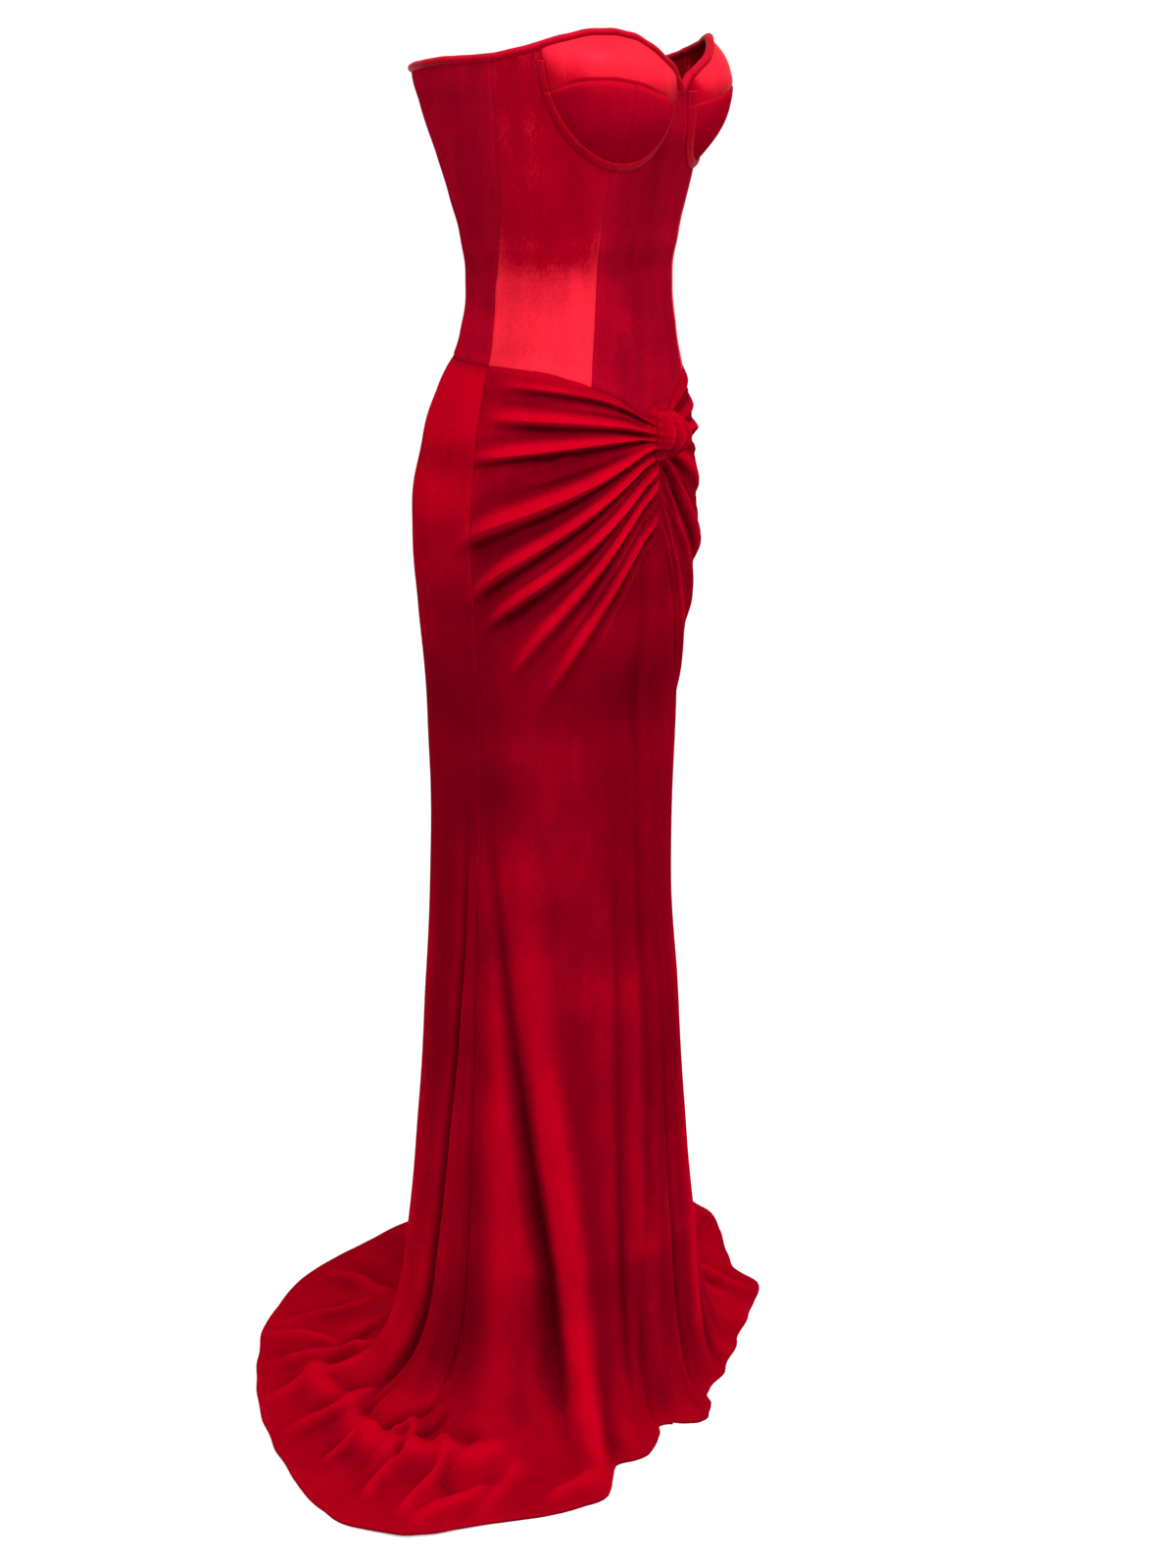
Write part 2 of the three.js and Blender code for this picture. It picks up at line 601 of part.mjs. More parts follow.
function backCorners(side) {
  const rows = [];
  const low = lowerHeight(FAN_LIMIT, 0);
  for (let i = 0; i < SKIRT_GRID.upperSteps; i += 1) {
    const part = i / SKIRT_GRID.upperSteps;
    rows.push((turn) => mix(read(WAIST_SEAM, turn) - SEAM_GAP / 2, low, part));
  }
  for (let i = 0; i <= SKIRT_GRID.lowerSteps; i += 1) rows.push(() => lowerHeight(FAN_LIMIT, i));
  return rows.map((heightAt) => {
    const row = [];
    for (let j = 0; j <= SKIRT_GRID.backTurns; j += 1) {
      const share = j / SKIRT_GRID.backTurns;
      const height = heightAt(mix(read(SIDE_SEAM, 1050), 180, share));
      const from = pastSeam(plainFace, side * read(SIDE_SEAM, height), height, side);
      const to = pastSeam(plainFace, side * 180, height, -side);
      row.push([mix(from, to, share), height]);
    }
    return row;
  });
}

function addSkirt() {
  const right = frontCorners(wrapFace, 1, (h) => read(WRAP_EDGE, h));
  const left = frontCorners(plainFace, -1, (h) => read(WRAP_EDGE, h) + UNDERLAP_TURN);
  add("skirt_front_right", wall(wrapFace, right, SKIRT_CLOTH), SKIRT_LOOK);
  add("skirt_front_left", wall(plainFace, left, SKIRT_CLOTH), SKIRT_LOOK);
  add("skirt_back_right", wall(plainFace, backCorners(1), SKIRT_CLOTH), SKIRT_LOOK);
  add("skirt_back_left", wall(plainFace, backCorners(-1), SKIRT_CLOTH), SKIRT_LOOK);
}

// The band of cloth that wraps the gathers at the centre front
const KNOT = {
  turns: [-10, 10], heights: [962, 1010], stand: 28, base: 7.4, ribs: 5, ribRise: 1.3, slantTurn: 3,
  archPower: 0.62, sideFall: 0.85, seamDip: 4, dipTurn: 9, rows: 10, columns: 17,
};

function addKnot() {
  const { rows, columns } = KNOT;
  const outer = [];
  const inner = [];
  const place = (across, up, inset) => {
    const turn = mix(KNOT.turns[0], KNOT.turns[1], across) + mix(KNOT.slantTurn, -KNOT.slantTurn, up);
    const height = mix(KNOT.heights[0] + inset, KNOT.heights[1] - inset, up);
    const edge = Math.abs(2 * across - 1);
    const arch = Math.max(Math.sin(up * Math.PI), 0) ** KNOT.archPower;
    const rib = KNOT.ribRise * Math.cos(across * KNOT.ribs * 2 * Math.PI);
    const middle = arch * (1 - edge ** 3);
    const stand = (KNOT.stand - inset) * arch * (1 - KNOT.sideFall * edge ** 3) + rib * arch;
    return gownPoint(turn, height, KNOT.base + stand - middle * gatherRise(turn, height));
  };
  for (let i = 0; i <= rows; i += 1) {
    for (let j = 0; j <= columns; j += 1) {
      outer.push(place(j / columns, i / rows, 0));
      inner.push(place(j / columns, i / rows, SKIRT_CLOTH));
    }
  }
  add("knot_wrap", shell(outer, inner, rows + 1, columns + 1), SKIRT_LOOK);
}

for (const [side, hand] of [[1, "right"], [-1, "left"]]) {
  addBodice(side, hand);
  addCup(side, hand);
  addCasing(side, hand);
}
addBinding();
addSkirt();
addKnot();

export default gown;
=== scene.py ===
import math
import bpy
import numpy as np
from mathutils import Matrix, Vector


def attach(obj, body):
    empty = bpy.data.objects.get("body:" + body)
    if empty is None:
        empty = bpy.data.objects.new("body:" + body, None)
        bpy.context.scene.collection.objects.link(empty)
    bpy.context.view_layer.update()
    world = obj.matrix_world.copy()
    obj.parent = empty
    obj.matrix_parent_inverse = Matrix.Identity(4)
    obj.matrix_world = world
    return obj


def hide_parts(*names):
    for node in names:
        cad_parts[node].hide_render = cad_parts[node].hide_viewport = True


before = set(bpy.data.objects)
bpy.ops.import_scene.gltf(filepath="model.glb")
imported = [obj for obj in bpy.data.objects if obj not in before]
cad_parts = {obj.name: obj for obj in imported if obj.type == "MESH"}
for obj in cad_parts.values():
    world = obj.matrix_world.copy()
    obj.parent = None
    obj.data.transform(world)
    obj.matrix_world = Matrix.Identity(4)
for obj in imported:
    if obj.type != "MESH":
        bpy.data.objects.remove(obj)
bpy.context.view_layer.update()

# Strapless mermaid gown. Lengths in the tables are millimetres and MM turns them into metres.
# Heights are above the floor. Turns are degrees round the body's axis from the centre front
# toward the wearer's right, which is -X.
MM = 0.001
WAIST_HEIGHT = 1133
BODICE_CLOTH = 2.6
SKIRT_CLOTH = 2.0
SEAM_GAP = 0.3

SECTIONS = [
    # height, half width, front depth, back depth, squareness of the front, and of the back
    (1375, 143, 113, 141, 2, 2.5), (1335, 146, 127, 139, 2, 2.5), (1300, 143, 125, 132, 2, 2.4),
    (1250, 138, 113, 113, 2.1, 2.3), (1210, 132, 101, 98, 2.2, 2.3), (1170, 126, 92, 88, 2.2, 2.2),
    (1133, 122, 87, 84, 2.2, 2.2), (1085, 126, 90, 90, 2.2, 2.2), (1035, 143, 94, 112, 2.2, 2.2),
    (975, 158, 99, 131, 2.2, 2.2), (900, 166, 101, 141, 2.2, 2.2), (820, 159, 97, 138, 2.2, 2.2),
    (700, 145, 83, 133, 2.2, 2.2), (560, 139, 83, 136, 2.1, 2.1), (430, 142, 91, 140, 2.1, 2.1),
    (300, 151, 99, 146, 2, 2), (170, 162, 110, 154, 2, 2), (0, 186, 132, 178, 2, 2),
]

NECKLINE = [
    # turn, height
    (0, 1316), (8, 1333), (18, 1347), (26, 1359), (34, 1367), (44, 1370),
    (59, 1365), (75, 1354), (95, 1346), (109, 1344), (123, 1340), (150, 1335), (180, 1334),
]

LEFT_DROP = 10

WAIST_SEAM = [
    # turn, height
    (0, 996), (11, 1004), (27, 1021), (44, 1035), (58, 1046), (75, 1055),
    (94, 1058), (130, 1061), (180, 1064),
]

PRINCESS_SEAM = [
    # height, turn
    (1400, 39), (1243, 39), (1165, 42), (1103, 44), (1043, 47), (980, 49),
]

SIDE_SEAM = [
    # height, turn
    (1400, 87), (1243, 87), (1150, 91), (1120, 93), (900, 92), (757, 93),
    (607, 96), (461, 99), (0, 100),
]

WRAP_EDGE = [
    # height, turn
    (1100, 4), (960, 4), (878, 3), (741, -2), (591, -6), (403, -8), (258, -2), (122, 10), (0, 18),
]
WRAP_LIFT = 6.5
WRAP_LIFT_TURN = 14
UNDERLAP_TURN = 3

CUP_LOW_TURN = 34
CUP_INNER_TURNS = 28
CUP_OUTER_TURNS = 34
CUP_LOW_HEIGHT = 1243
CUP_HIGH_HEIGHT = 1347
CUP_INNER_CURVE = 2.6
CUP_OUTER_CURVE = 2.0
CUP_RISE = 26
CUP_LEAN_BACK = 1.08
CUP_FIRST_TURN = 6.5
CUP_LAST_TURN = 67.7
CUP_SPLIT_TURN = 34.5
CUP_BAND_SEAM = [
    # turn, height
    (0, 1293), (8, 1299), (16, 1305), (25, 1311), (36, 1320), (47, 1323), (64, 1314), (70, 1309),
]

FOLD_TURNS = (6, 40, 80)
NEAR_FOLDS = [
    # height at 6, 40 and 80 degrees, turn where it fades, rise, half width
    (996, 1024, 1041, 90, 3, 6),
    (988, 1002, 1011, 92, 7, 8),
    (983, 985, 977, 98, 6, 7),
    (979, 954, 914, 102, 10, 10),
    (968, 931, 868, 98, 8, 9),
    (955, 903, 830, 92, 8, 10),
    (938, 874, 768, 84, 6, 10),
    (905, 830, 700, 74, 4, 12),
]
FAR_FOLDS = [
    (997, 1022, 1038, 90, 3, 8),
    (988, 1000, 1006, 92, 4, 9),
    (982, 984, 968, 100, 7, 9),
    (974, 948, 900, 96, 3, 12),
    (962, 896, 828, 96, 6, 15),
    (944, 850, 750, 86, 2, 15),
    (915, 790, 690, 78, 3, 16),
    (890, 775, 655, 66, 2, 16),
]
FOLD_END = (860, 765, 610)
FAN_LIMIT = 92

FLUTE_TOP = 640
FLUTES = [
    # turn at the hem, turn at the knee, rise at the hem, half width in degrees
    (-172, -170, 16, 9), (-155, -152, -13, 6), (-138, -134, 17, 10), (-119, -114, -15, 6),
    (-103, -104, 15, 8), (-88, -95, -12, 5), (-70, -80, 15, 9), (-50, -64, -12, 6), (-30, -42, 10, 8),
    (-12, -22, -6, 5), (22, 12, 6, 8), (34, 28, -5, 5), (46, 78, 10, 8), (55, 91, -14, 4.5),
    (78, 93, 14, 10), (98, 99, -11, 4), (109, 105, 12, 7), (127, 103, -28, 5), (139, 130, 16, 10),
    (155, 150, -12, 6), (170, 168, 14, 8),
]

FLOOR_START = 170
HEM = [
    # turn, radius
    (-180, 377), (-176, 389), (-168, 416), (-161, 441), (-157, 455), (-151, 479), (-146, 505),
    (-140, 530), (-130, 572), (-120, 596), (-112, 590), (-106, 552), (-101, 478), (-96, 406),
    (-91, 366), (-86, 350), (-80, 300), (-74, 258), (-60, 200), (-37, 161), (-16, 147), (-6, 160),
    (1, 168), (8, 176), (14, 168), (21, 150), (27, 172), (33, 199), (41, 224), (46, 230), (51, 304),
    (55, 322), (61, 345), (67, 364), (73, 391), (77, 414), (81, 423), (85, 423), (93, 406), (103, 374),
    (114, 348), (127, 330), (141, 324), (155, 331), (168, 352), (180, 377),
]

TRAIN_FOLDS = [
    # first turn, last turn, drop where it starts, drop where it ends, rise, half width
    (68, 112, 56, 34, 11, 9), (84, 128, 30, 44, 9, 8), (118, 160, 40, 26, 12, 9),
    (-160, -112, 30, 48, 12, 9), (-124, -80, 46, 30, 10, 9),
]

MINOR_FOLDS = [
    # height at 6, 40 and 80 degrees, turn where it fades, rise, half width
    (992, 1013, 1024, 74, 1.6, 4), (986, 993, 996, 70, 1.4, 4), (981, 969, 945, 84, 2, 5),
    (973, 942, 892, 78, 2, 5), (961, 917, 846, 88, 2.2, 5), (947, 889, 800, 74, 2, 5),
    (922, 852, 735, 70, 2, 6), (890, 800, 650, 60, 1.5, 6),
]

CREASES = [
    # turn and radius at one end, turn and radius at the other, rise, half width
    (-163, 405, -166, 284, 8, 8), (172, 343, 186, 287, 6, 7), (168, 351, 158, 222, 8, 7),
    (154, 319, 157, 212, 8, 6), (97, 245, 89, 352, 10, 6), (86, 262, 81, 372, 9, 6),
    (104, 323, 100, 240, 8, 6), (79, 408, 75, 318, 7, 6), (-96, 325, -89, 331, 10, 9),
    (-128, 520, -121, 330, 10, 11), (-145, 480, -150, 300, 9, 10), (-108, 560, -104, 380, 13, 12),
    (118, 335, 126, 230, 7, 7), (136, 312, 141, 215, 7, 7), (60, 335, 56, 262, 5, 8),
    (-136, 500, -139, 360, 6, 9), (-116, 570, -112, 430, 9, 12), (69, 390, 71, 270, 5, 8),
    (101, 262, 98, 205, -9, 6), (91, 300, 93, 228, -8, 6), (160, 240, 164, 190, -9, 7),
    (78, 330, 82, 255, -4, 7), (112, 250, 116, 195, -7, 6), (-120, 330, -124, 250, -8, 8),
]
CREASE_BEND = 9
CREASE_HALF_WAVES = 1.5
CREASE_END = 1.5

# How quickly a cup's rise falls away across it and up it.
CUP_ACROSS_POWER = 0.8
CUP_UP_POWER = 0.85

# Gathers are narrow near the knot and have a hollow under each.
GATHER_NARROW = 0.45
GATHER_FULL_TURN = 55
GATHER_START_TURN = 14
GATHER_FADE_TURN = 24
GATHER_UNDER = 0.5
HOLLOW_SHARE = 0.3
HOLLOW_BELOW = 1.15

FLUTE_TURN_POWER = 1.3
FLUTE_RISE_POWER = 0.9
VALLEY_SHARPNESS = 1.4

# Seams draw the cloth in by SEAM_DIP. Some do so by a share of it.
SEAM_DIP = 1.3
SEAM_HALF_WIDTH = 2.2
BAND_SEAM_HALF_WIDTH = 1.7
SPLIT_SEAM_HALF_WIDTH = 1.6
FRONT_SEAM_SHARE = 0.25
SPLIT_SEAM_SHARE = 0.7
MOST_DIP_SHARE = 1.2
PAST_WAIST_SEAM = 1
PAST_WIRE = 4
ABOVE_GOWN = 1400

LEFT_DROP_TURN = 70
LEFT_DROP_BACK_TURN = 60
LEFT_DROP_LENGTH = 240

# The bends onto the floor: the most in millimetres, and the share of the reach to the hem.
NEAR_BEND = (10, 0.15)
FAR_BEND = (34, 0.4)
BEND_HEIGHT = 64
BEND_END = 2
FLOOR_GAP = 0.2
# Where the cloth starts to lie: share along it and reach in millimetres, each with its length.
LYING_ALONG = (0.45, 0.3)
LYING_REACH = (40, 120)
RIDGE_SHARE = 0.75
RIDGE_LOSS = 0.8
CREASE_TO_HEM = 0.12
WRAP_LIFT_STEEPNESS = 1.25

# Distances over which a face's normals are measured, and the way that counts as outward.
NORMAL_TURN = 0.4
NORMAL_HEIGHT = 1.2
OUTWARD_RADIUS = 400
OUTWARD_UP = 0.25
SHORTEST_NORMAL = 1e-9

# Relief of the cloth, which the velvet paints as shade in valleys and highlight on ridges: grid steps
# averaged over, height that counts in full, and its fading near the floor.
RELIEF_REACH = 6
RELIEF_FULL = 2.2
RELIEF_LOW = 90
RELIEF_FLOOR = 1.5
RIM_ANGLE = math.radians(50)

# Velvet: shares of its painted light and shade and of its mottle, places on its colour ramp, and its
# surface.
NOISE_RANGE = (0.3, 0.7)
PAINTED_TOP_LIGHT_SHARE = 0.62
BASE_SHADE = 0.19
NOISE_MEAN = 0.5
PATCH_SHARE = 0.5
FINE_SHARE = 0.25
RAMP_MIDDLE = 0.42
RAMP_BRIGHT = 0.9
ROUGHNESS_SPREAD = 0.06
ROUGHNESS_RANGE = (0.2, 0.8)
PILE_STRENGTH = 0.35
PILE_HEIGHT = 0.0007
PILE_CRUSH_SHARE = 0.8
GLOSS = 0.015
GLOSS_TINT = (1.0, 0.1, 0.15, 1)
SHEEN = 0.12
SHEEN_ROUGHNESS = 0.35
SHEEN_TINT = (1.0, 0.01, 0.04, 1)

# Stitches
STITCH_TOP = 1.3
HEM_FOLD = 14

# Bodice and cups
UNDER_BINDING = 6.5
BODICE_ROWS = 90
WAIST_SEAM_START = 1040.0
WAIST_SEAM_PASSES = 3
CUP_COLUMNS = 90
CUP_ROWS = 50
BEFORE_CUP_TURN = 6.42
BEFORE_CUP_COLUMNS = 12
PAST_CUP_TURN = 0.03
PAST_CUP_COLUMNS = 40
BACK_COLUMNS = 110
LOW_CUP_LEAST = 2

# Wire casing: its cross-section has a groove along the middle and one along each stitch line.
WIRE_ANGLES = (-76, 87)
CASING_STEPS = 160
CASING_COLUMNS = 17
CASING_STEP = 0.01
CASING_HALF_WIDTH = 3.7
CASING_SWELL = 2.1
CASING_EDGE = 0.3
CASING_OUT = 0.7
CASING_ROOT = 0.3
MIDDLE_GROOVE_DEPTH = 0.7
MIDDLE_GROOVE_HALF_WIDTH = 0.12
STITCH_GROOVE_DEPTH = 0.5
STITCH_GROOVE_HALF_WIDTH = 0.09
STITCH_GROOVE_PLACE = 0.8
CASING_STITCH_COLUMNS = (("outer", 2), ("inner", 14))

BINDING_STEPS = 720
BINDING_SIDES = 16
BINDING_RADIUS = 4.1
BINDING_DROP = 4
BINDING_INSET = 1
BINDING_TURN = 0.6
WRINKLE_SHARE = 0.04
WRINKLE_COUNT = 37

# Skirt
FAN_STEPS = 12
FAN_LINE_GAP = 0.375
FIRST_TURNS = (20, 80)
SIDE_SEAM_PASSES = 6
LOWER_STEPS = 170
LOWER_POWER = 1.25
FRONT_TURNS = 130
BACK_TURNS = 130
BACK_UPPER_STEPS = 60
SEAM_CLOSENESS = 0.75

# Knot
KNOT_TURNS = (-10, 10)
KNOT_HEIGHTS = (962, 1010)
KNOT_COLUMNS = 90
KNOT_ROWS = 60
KNOT_STAND = 28
KNOT_BASE = 7.4
KNOT_LEAN = 3
KNOT_END_WIDTH = 0.7
KNOT_MORE_WIDTH = 0.3
KNOT_ARCH_POWER = 0.62
KNOT_EDGE_LOSS = 0.85
KNOT_EDGE_POWER = 3
KNOT_RIB = 2.6
KNOT_RIBS = 4.5
KNOT_RIB_SLANT = 2.2
CORE_ROWS = 70
CORE_PAST = 0.28
CORE_BELOW = 2.7
CORE_BELOW_MIDDLE = 2.4
CORE_ROOT = -1.5
CORE_WALL = 1
PLEAT = 0.9
PLEATS = 6
PLEAT_SLANT = 1.5
PLEAT_START = 0.8
PLEAT_FADE = 0.2

# Studio, in metres
FLOOR_SIZE = 6000
FLOOR_COLOUR = (0.9, 0.9, 0.9, 1)
FLOOR_ROUGHNESS = 0.9
FLOOR_GLOW = 0.5
SKY_STRENGTH = 0.6
WHITE = (1, 1, 1, 1)
LIGHT_AIM = -0.3
LIGHTS = [
    # name, azimuth, distance, height, size, power
    ("key", -40, 2.6, 2.5, 1.7, 95), ("front", 5, 3.6, 1.4, 2.0, 7), ("back", 170, 3.0, 2.6, 2.0, 14),
]

CAMERA_AZIMUTH = -58
CAMERA_DISTANCE = 3.5
CAMERA_HEIGHT = 1.4
CAMERA_PITCH = 12.4
CAMERA_ASIDE = 0.0183
SENSOR_HEIGHT = 36
SENSOR_WIDTH = 27
FOCAL_PIXELS = 3664
FRAME_PIXELS = 1600


def mix(start, end, part):
    return start + (end - start) * part


def smooth(value):
    value = np.clip(value, 0, 1)
    return value * value * (3 - 2 * value)


def bell(distance):
    return np.exp(-distance * distance)


def read(table, place, column=1):
    """A column of a table at places in its first column, along a smooth curve."""
    rows = np.array(sorted(table), float)
    x, y = rows[:, 0], rows[:, column]
    step = np.diff(x)
    middle = np.diff(y) / step
    before, after = middle[:-1], middle[1:]
    total = np.where(before + after == 0, 1, before + after)
    inside = np.where(before * after <= 0, 0, 2 * before * after / total)
    start = np.concatenate([middle[:1], inside])
    end = np.concatenate([inside, middle[-1:]])
    place = np.clip(np.asarray(place, float), x[0], x[-1])
    k = np.clip(np.searchsorted(x, place, side="right") - 1, 0, len(step) - 1)
    s = (place - x[k]) / step[k]
    first = y[k] + start[k] * step[k] * s
    last = y[k + 1] - end[k] * step[k] * (1 - s)
    return mix(first, last, s * s * (3 - 2 * s))


def body_radius(turn, height):
    angle = np.radians(turn)
    side = np.abs(np.sin(angle)) / read(SECTIONS, height, 1)
    facing = np.cos(angle)
    depth = np.where(facing > 0, read(SECTIONS, height, 2), read(SECTIONS, height, 3))
    power = np.where(facing > 0, read(SECTIONS, height, 4), read(SECTIONS, height, 5))
    return (side ** power + (np.abs(facing) / depth) ** power) ** (-1 / power)


def cup_share(turn):
    """Place across the cup: -1 at its inner end, 0 at its lowest point, 1 at its outer end."""
    away = np.abs(turn_apart(turn, 0)) - CUP_LOW_TURN
    return away / np.where(away < 0, CUP_INNER_TURNS, CUP_OUTER_TURNS)


def wire_height(turn):
    share = cup_share(turn)
    curve = np.where(share < 0, CUP_INNER_CURVE, CUP_OUTER_CURVE)
    drop = (1 - np.clip(np.abs(share), 0, 1) ** curve) ** (1 / curve)
    return mix(CUP_HIGH_HEIGHT, CUP_LOW_HEIGHT, drop)


def cup_rise(turn, height):
    share = np.clip(np.abs(cup_share(turn)), 0, 1)
    above = height - wire_height(turn)
    across = (1 - share * share) ** CUP_ACROSS_POWER
    tall = np.maximum(read(NECKLINE, np.abs(turn_apart(turn, 0))) - wire_height(turn), 1)
    up = np.clip(above / (CUP_LEAN_BACK * tall), 0, 1)
    return CUP_RISE * across * np.sin(up * np.pi) ** CUP_UP_POWER


def fold_height(heights, turn):
    """Height of a fold at a turn, on the curve through its heights at FOLD_TURNS."""
    a, b, c = FOLD_TURNS
    t = np.maximum(turn, 0)
    first = (t - b) * (t - c) / ((a - b) * (a - c))
    second = (t - a) * (t - c) / ((b - a) * (b - c))
    third = (t - a) * (t - b) / ((c - a) * (c - b))
    return heights[0] * first + heights[1] * second + heights[2] * third


def gather_rise(turn, height):
    near = side_gathers(turn, height, NEAR_FOLDS)
    far = side_gathers(turn, height, FAR_FOLDS)
    return np.where(turn > 0, near, far) + side_gathers(turn, height, MINOR_FOLDS)


def side_gathers(turn, height, folds):
    angle = np.abs(turn)
    rise = 0
    for near, middle, far, fade, full_rise, half_width in folds:
        width = half_width * mix(GATHER_NARROW, 1, np.clip(angle / GATHER_FULL_TURN, 0, 1))
        above = height - fold_height((near, middle, far), angle)
        strength = full_rise * smooth((fade - angle) / GATHER_FADE_TURN) * smooth(angle / GATHER_START_TURN)
        crest = bell(above / np.where(above > 0, width, GATHER_UNDER * width))
        hollow = bell((above + HOLLOW_BELOW * width) / (GATHER_UNDER * width))
        rise = rise + strength * (crest - HOLLOW_SHARE * hollow)
    return rise


def turn_apart(a, b):
    return (a - b + 540) % 360 - 180


def flute_rise(turn, height):
    """Rounded flutes and sharper valleys, growing from the knee to the hem."""
    down = np.clip((FLUTE_TOP - height) / FLUTE_TOP, 0, 1)
    rise = 0
    for hem_turn, knee_turn, hem_rise, half_width in FLUTES:
        middle = mix(knee_turn, hem_turn, down ** FLUTE_TURN_POWER)
        apart = np.abs(turn_apart(turn, middle)) / half_width
        rise = rise + hem_rise * (bell(apart) if hem_rise > 0 else np.exp(-VALLEY_SHARPNESS * apart))
    return rise * down ** FLUTE_RISE_POWER


def train_rise(turn, height):
    """The large folds that run along the train."""
    rise = 0
    for first, last, start, end, full_rise, half_width in TRAIN_FOLDS:
        part = np.clip((turn - first) / (last - first), 0, 1)
        across = bell((height - mix(start, end, part)) / half_width)
        rise = rise + full_rise * np.sin(part * np.pi) * across
    return rise


def bezier(a, b, c, d, s):
    r = 1 - s
    return a * r ** 3 + 3 * b * r * r * s + 3 * c * r * s * s + d * s ** 3


def seam_dip(turn, height):
    """How far the cloth is drawn in along the seams."""
    angle = np.abs(turn_apart(turn, 0))
    radius = np.maximum(body_radius(turn, height), 1)
    side = np.radians(angle - read(SIDE_SEAM, height)) * radius
    princess = np.radians(angle - read(PRINCESS_SEAM, height)) * radius
    front = np.radians(angle) * radius
    back = np.radians(180 - angle) * radius
    level = height - read(WAIST_SEAM, angle)
    on_bodice = level > -PAST_WAIST_SEAM
    under_wire = height < wire_height(angle) + PAST_WIRE
    dip = bell(side / SEAM_HALF_WIDTH) + bell(back / SEAM_HALF_WIDTH) + bell(level / SEAM_HALF_WIDTH)
    dip = dip + np.where(on_bodice & under_wire, bell(princess / SEAM_HALF_WIDTH), 0)
    dip = dip + np.where(on_bodice, FRONT_SEAM_SHARE * bell(front / SEAM_HALF_WIDTH), 0)
    on_cup = (angle > CUP_FIRST_TURN) & (angle < CUP_LAST_TURN)
    on_cup = on_cup & (height > wire_height(angle)) & (height < ABOVE_GOWN)
    above_band = height - read(CUP_BAND_SEAM, angle)
    split = np.radians(angle - CUP_SPLIT_TURN) * radius
    dip = dip + np.where(on_cup, bell(above_band / BAND_SEAM_HALF_WIDTH), 0)
    under_band = on_cup & (above_band < 0)
    dip = dip + np.where(under_band, SPLIT_SEAM_SHARE * bell(split / SPLIT_SEAM_HALF_WIDTH), 0)
    return SEAM_DIP * np.minimum(dip, MOST_DIP_SHARE)


def left_drop(turn, height):
    """How far the neckline hangs lower at the left side."""
    aside = -turn_apart(turn, 0)
    on_side = smooth(aside / LEFT_DROP_TURN) * smooth((180 - aside) / LEFT_DROP_BACK_TURN)
    return LEFT_DROP * on_side * np.clip((height - WAIST_HEIGHT) / LEFT_DROP_LENGTH, 0, 1)


def crease_rise(turn, radius):
    """Short ridges and hollows of the cloth that lies on the floor."""
    angle = np.radians(turn)
    x, y = np.sin(angle) * radius, np.cos(angle) * radius
    rise = 0
    for turn_a, radius_a, turn_b, radius_b, full_rise, half_width in CREASES:
        ax, ay = radius_a * math.sin(math.radians(turn_a)), radius_a * math.cos(math.radians(turn_a))
        bx, by = radius_b * math.sin(math.radians(turn_b)), radius_b * math.cos(math.radians(turn_b))
        across, ahead = bx - ax, by - ay
        part = ((x - ax) * across + (y - ay) * ahead) / (across ** 2 + ahead ** 2)
        bend = CREASE_BEND * np.sin(np.clip(part, 0, 1) * np.pi * CREASE_HALF_WAVES)
        size = math.hypot(across, ahead)
        aside = ((x - ax) * ahead - (y - ay) * across) / size + bend
        past = np.maximum(np.maximum(-part, part - 1), 0) * size
        rise = rise + full_rise * bell(aside / half_width) * bell(past / (CREASE_END * half_width))
    return rise


def gown_point(turn, height, out=0.0):
    """Points of the outer face in millimetres. Below FLOOR_START the height is the drop left
    along the cloth, which bends outward and lies on the floor."""
    turn, height = np.broadcast_arrays(np.asarray(turn, float), np.asarray(height, float))
    flute = flute_rise(turn, height)
    rise = out + cup_rise(turn, height) + gather_rise(turn, height) + flute
    rise = rise - seam_dip(turn, height)
    radius = body_radius(turn, np.maximum(height, FLOOR_START)) + rise
    along = np.clip(1 - height / FLOOR_START, 0, 1)
    hem = read(HEM, turn) + out
    reach = np.maximum(hem - radius, 0)
    near_bend = radius + np.minimum(NEAR_BEND[0], NEAR_BEND[1] * reach)
    far_bend = radius + np.minimum(FAR_BEND[0], FAR_BEND[1] * reach)
    lying = smooth((along - LYING_ALONG[0]) / LYING_ALONG[1])
    lying = lying * smooth((reach - LYING_REACH[0]) / LYING_REACH[1])
    low = bezier(FLOOR_START, BEND_HEIGHT, SKIRT_CLOTH + BEND_END, SKIRT_CLOTH + FLOOR_GAP, along)
    ridge = RIDGE_SHARE * np.maximum(0, flute) * (1 - RIDGE_LOSS * smooth(2 * along - 1))
    on_floor = height < FLOOR_START
    radius = np.where(on_floor, bezier(radius, near_bend, far_bend, hem, along), radius)
    creases = crease_rise(turn, radius) * smooth((1 - along) / CREASE_TO_HEM)
    low = low + lying * (train_rise(turn, height) + ridge + creases)
    low = np.maximum(low, SKIRT_CLOTH + FLOOR_GAP)
    level = np.where(on_floor, low, height - left_drop(turn, height))
    angle = np.radians(turn)
    return np.stack([-np.sin(angle) * radius, -np.cos(angle) * radius, level - WAIST_HEIGHT], -1)


def wrap_lift(turn, height):
    """How far the near panel stands off the far one beside its free edge."""
    past = turn - read(WRAP_EDGE, height)
    return WRAP_LIFT * smooth(WRAP_LIFT_STEEPNESS * (1 - past / WRAP_LIFT_TURN))


def plain_face(turn, height):
    return gown_point(turn, height)


def wrap_face(turn, height):
    return gown_point(turn, height, wrap_lift(turn, height))


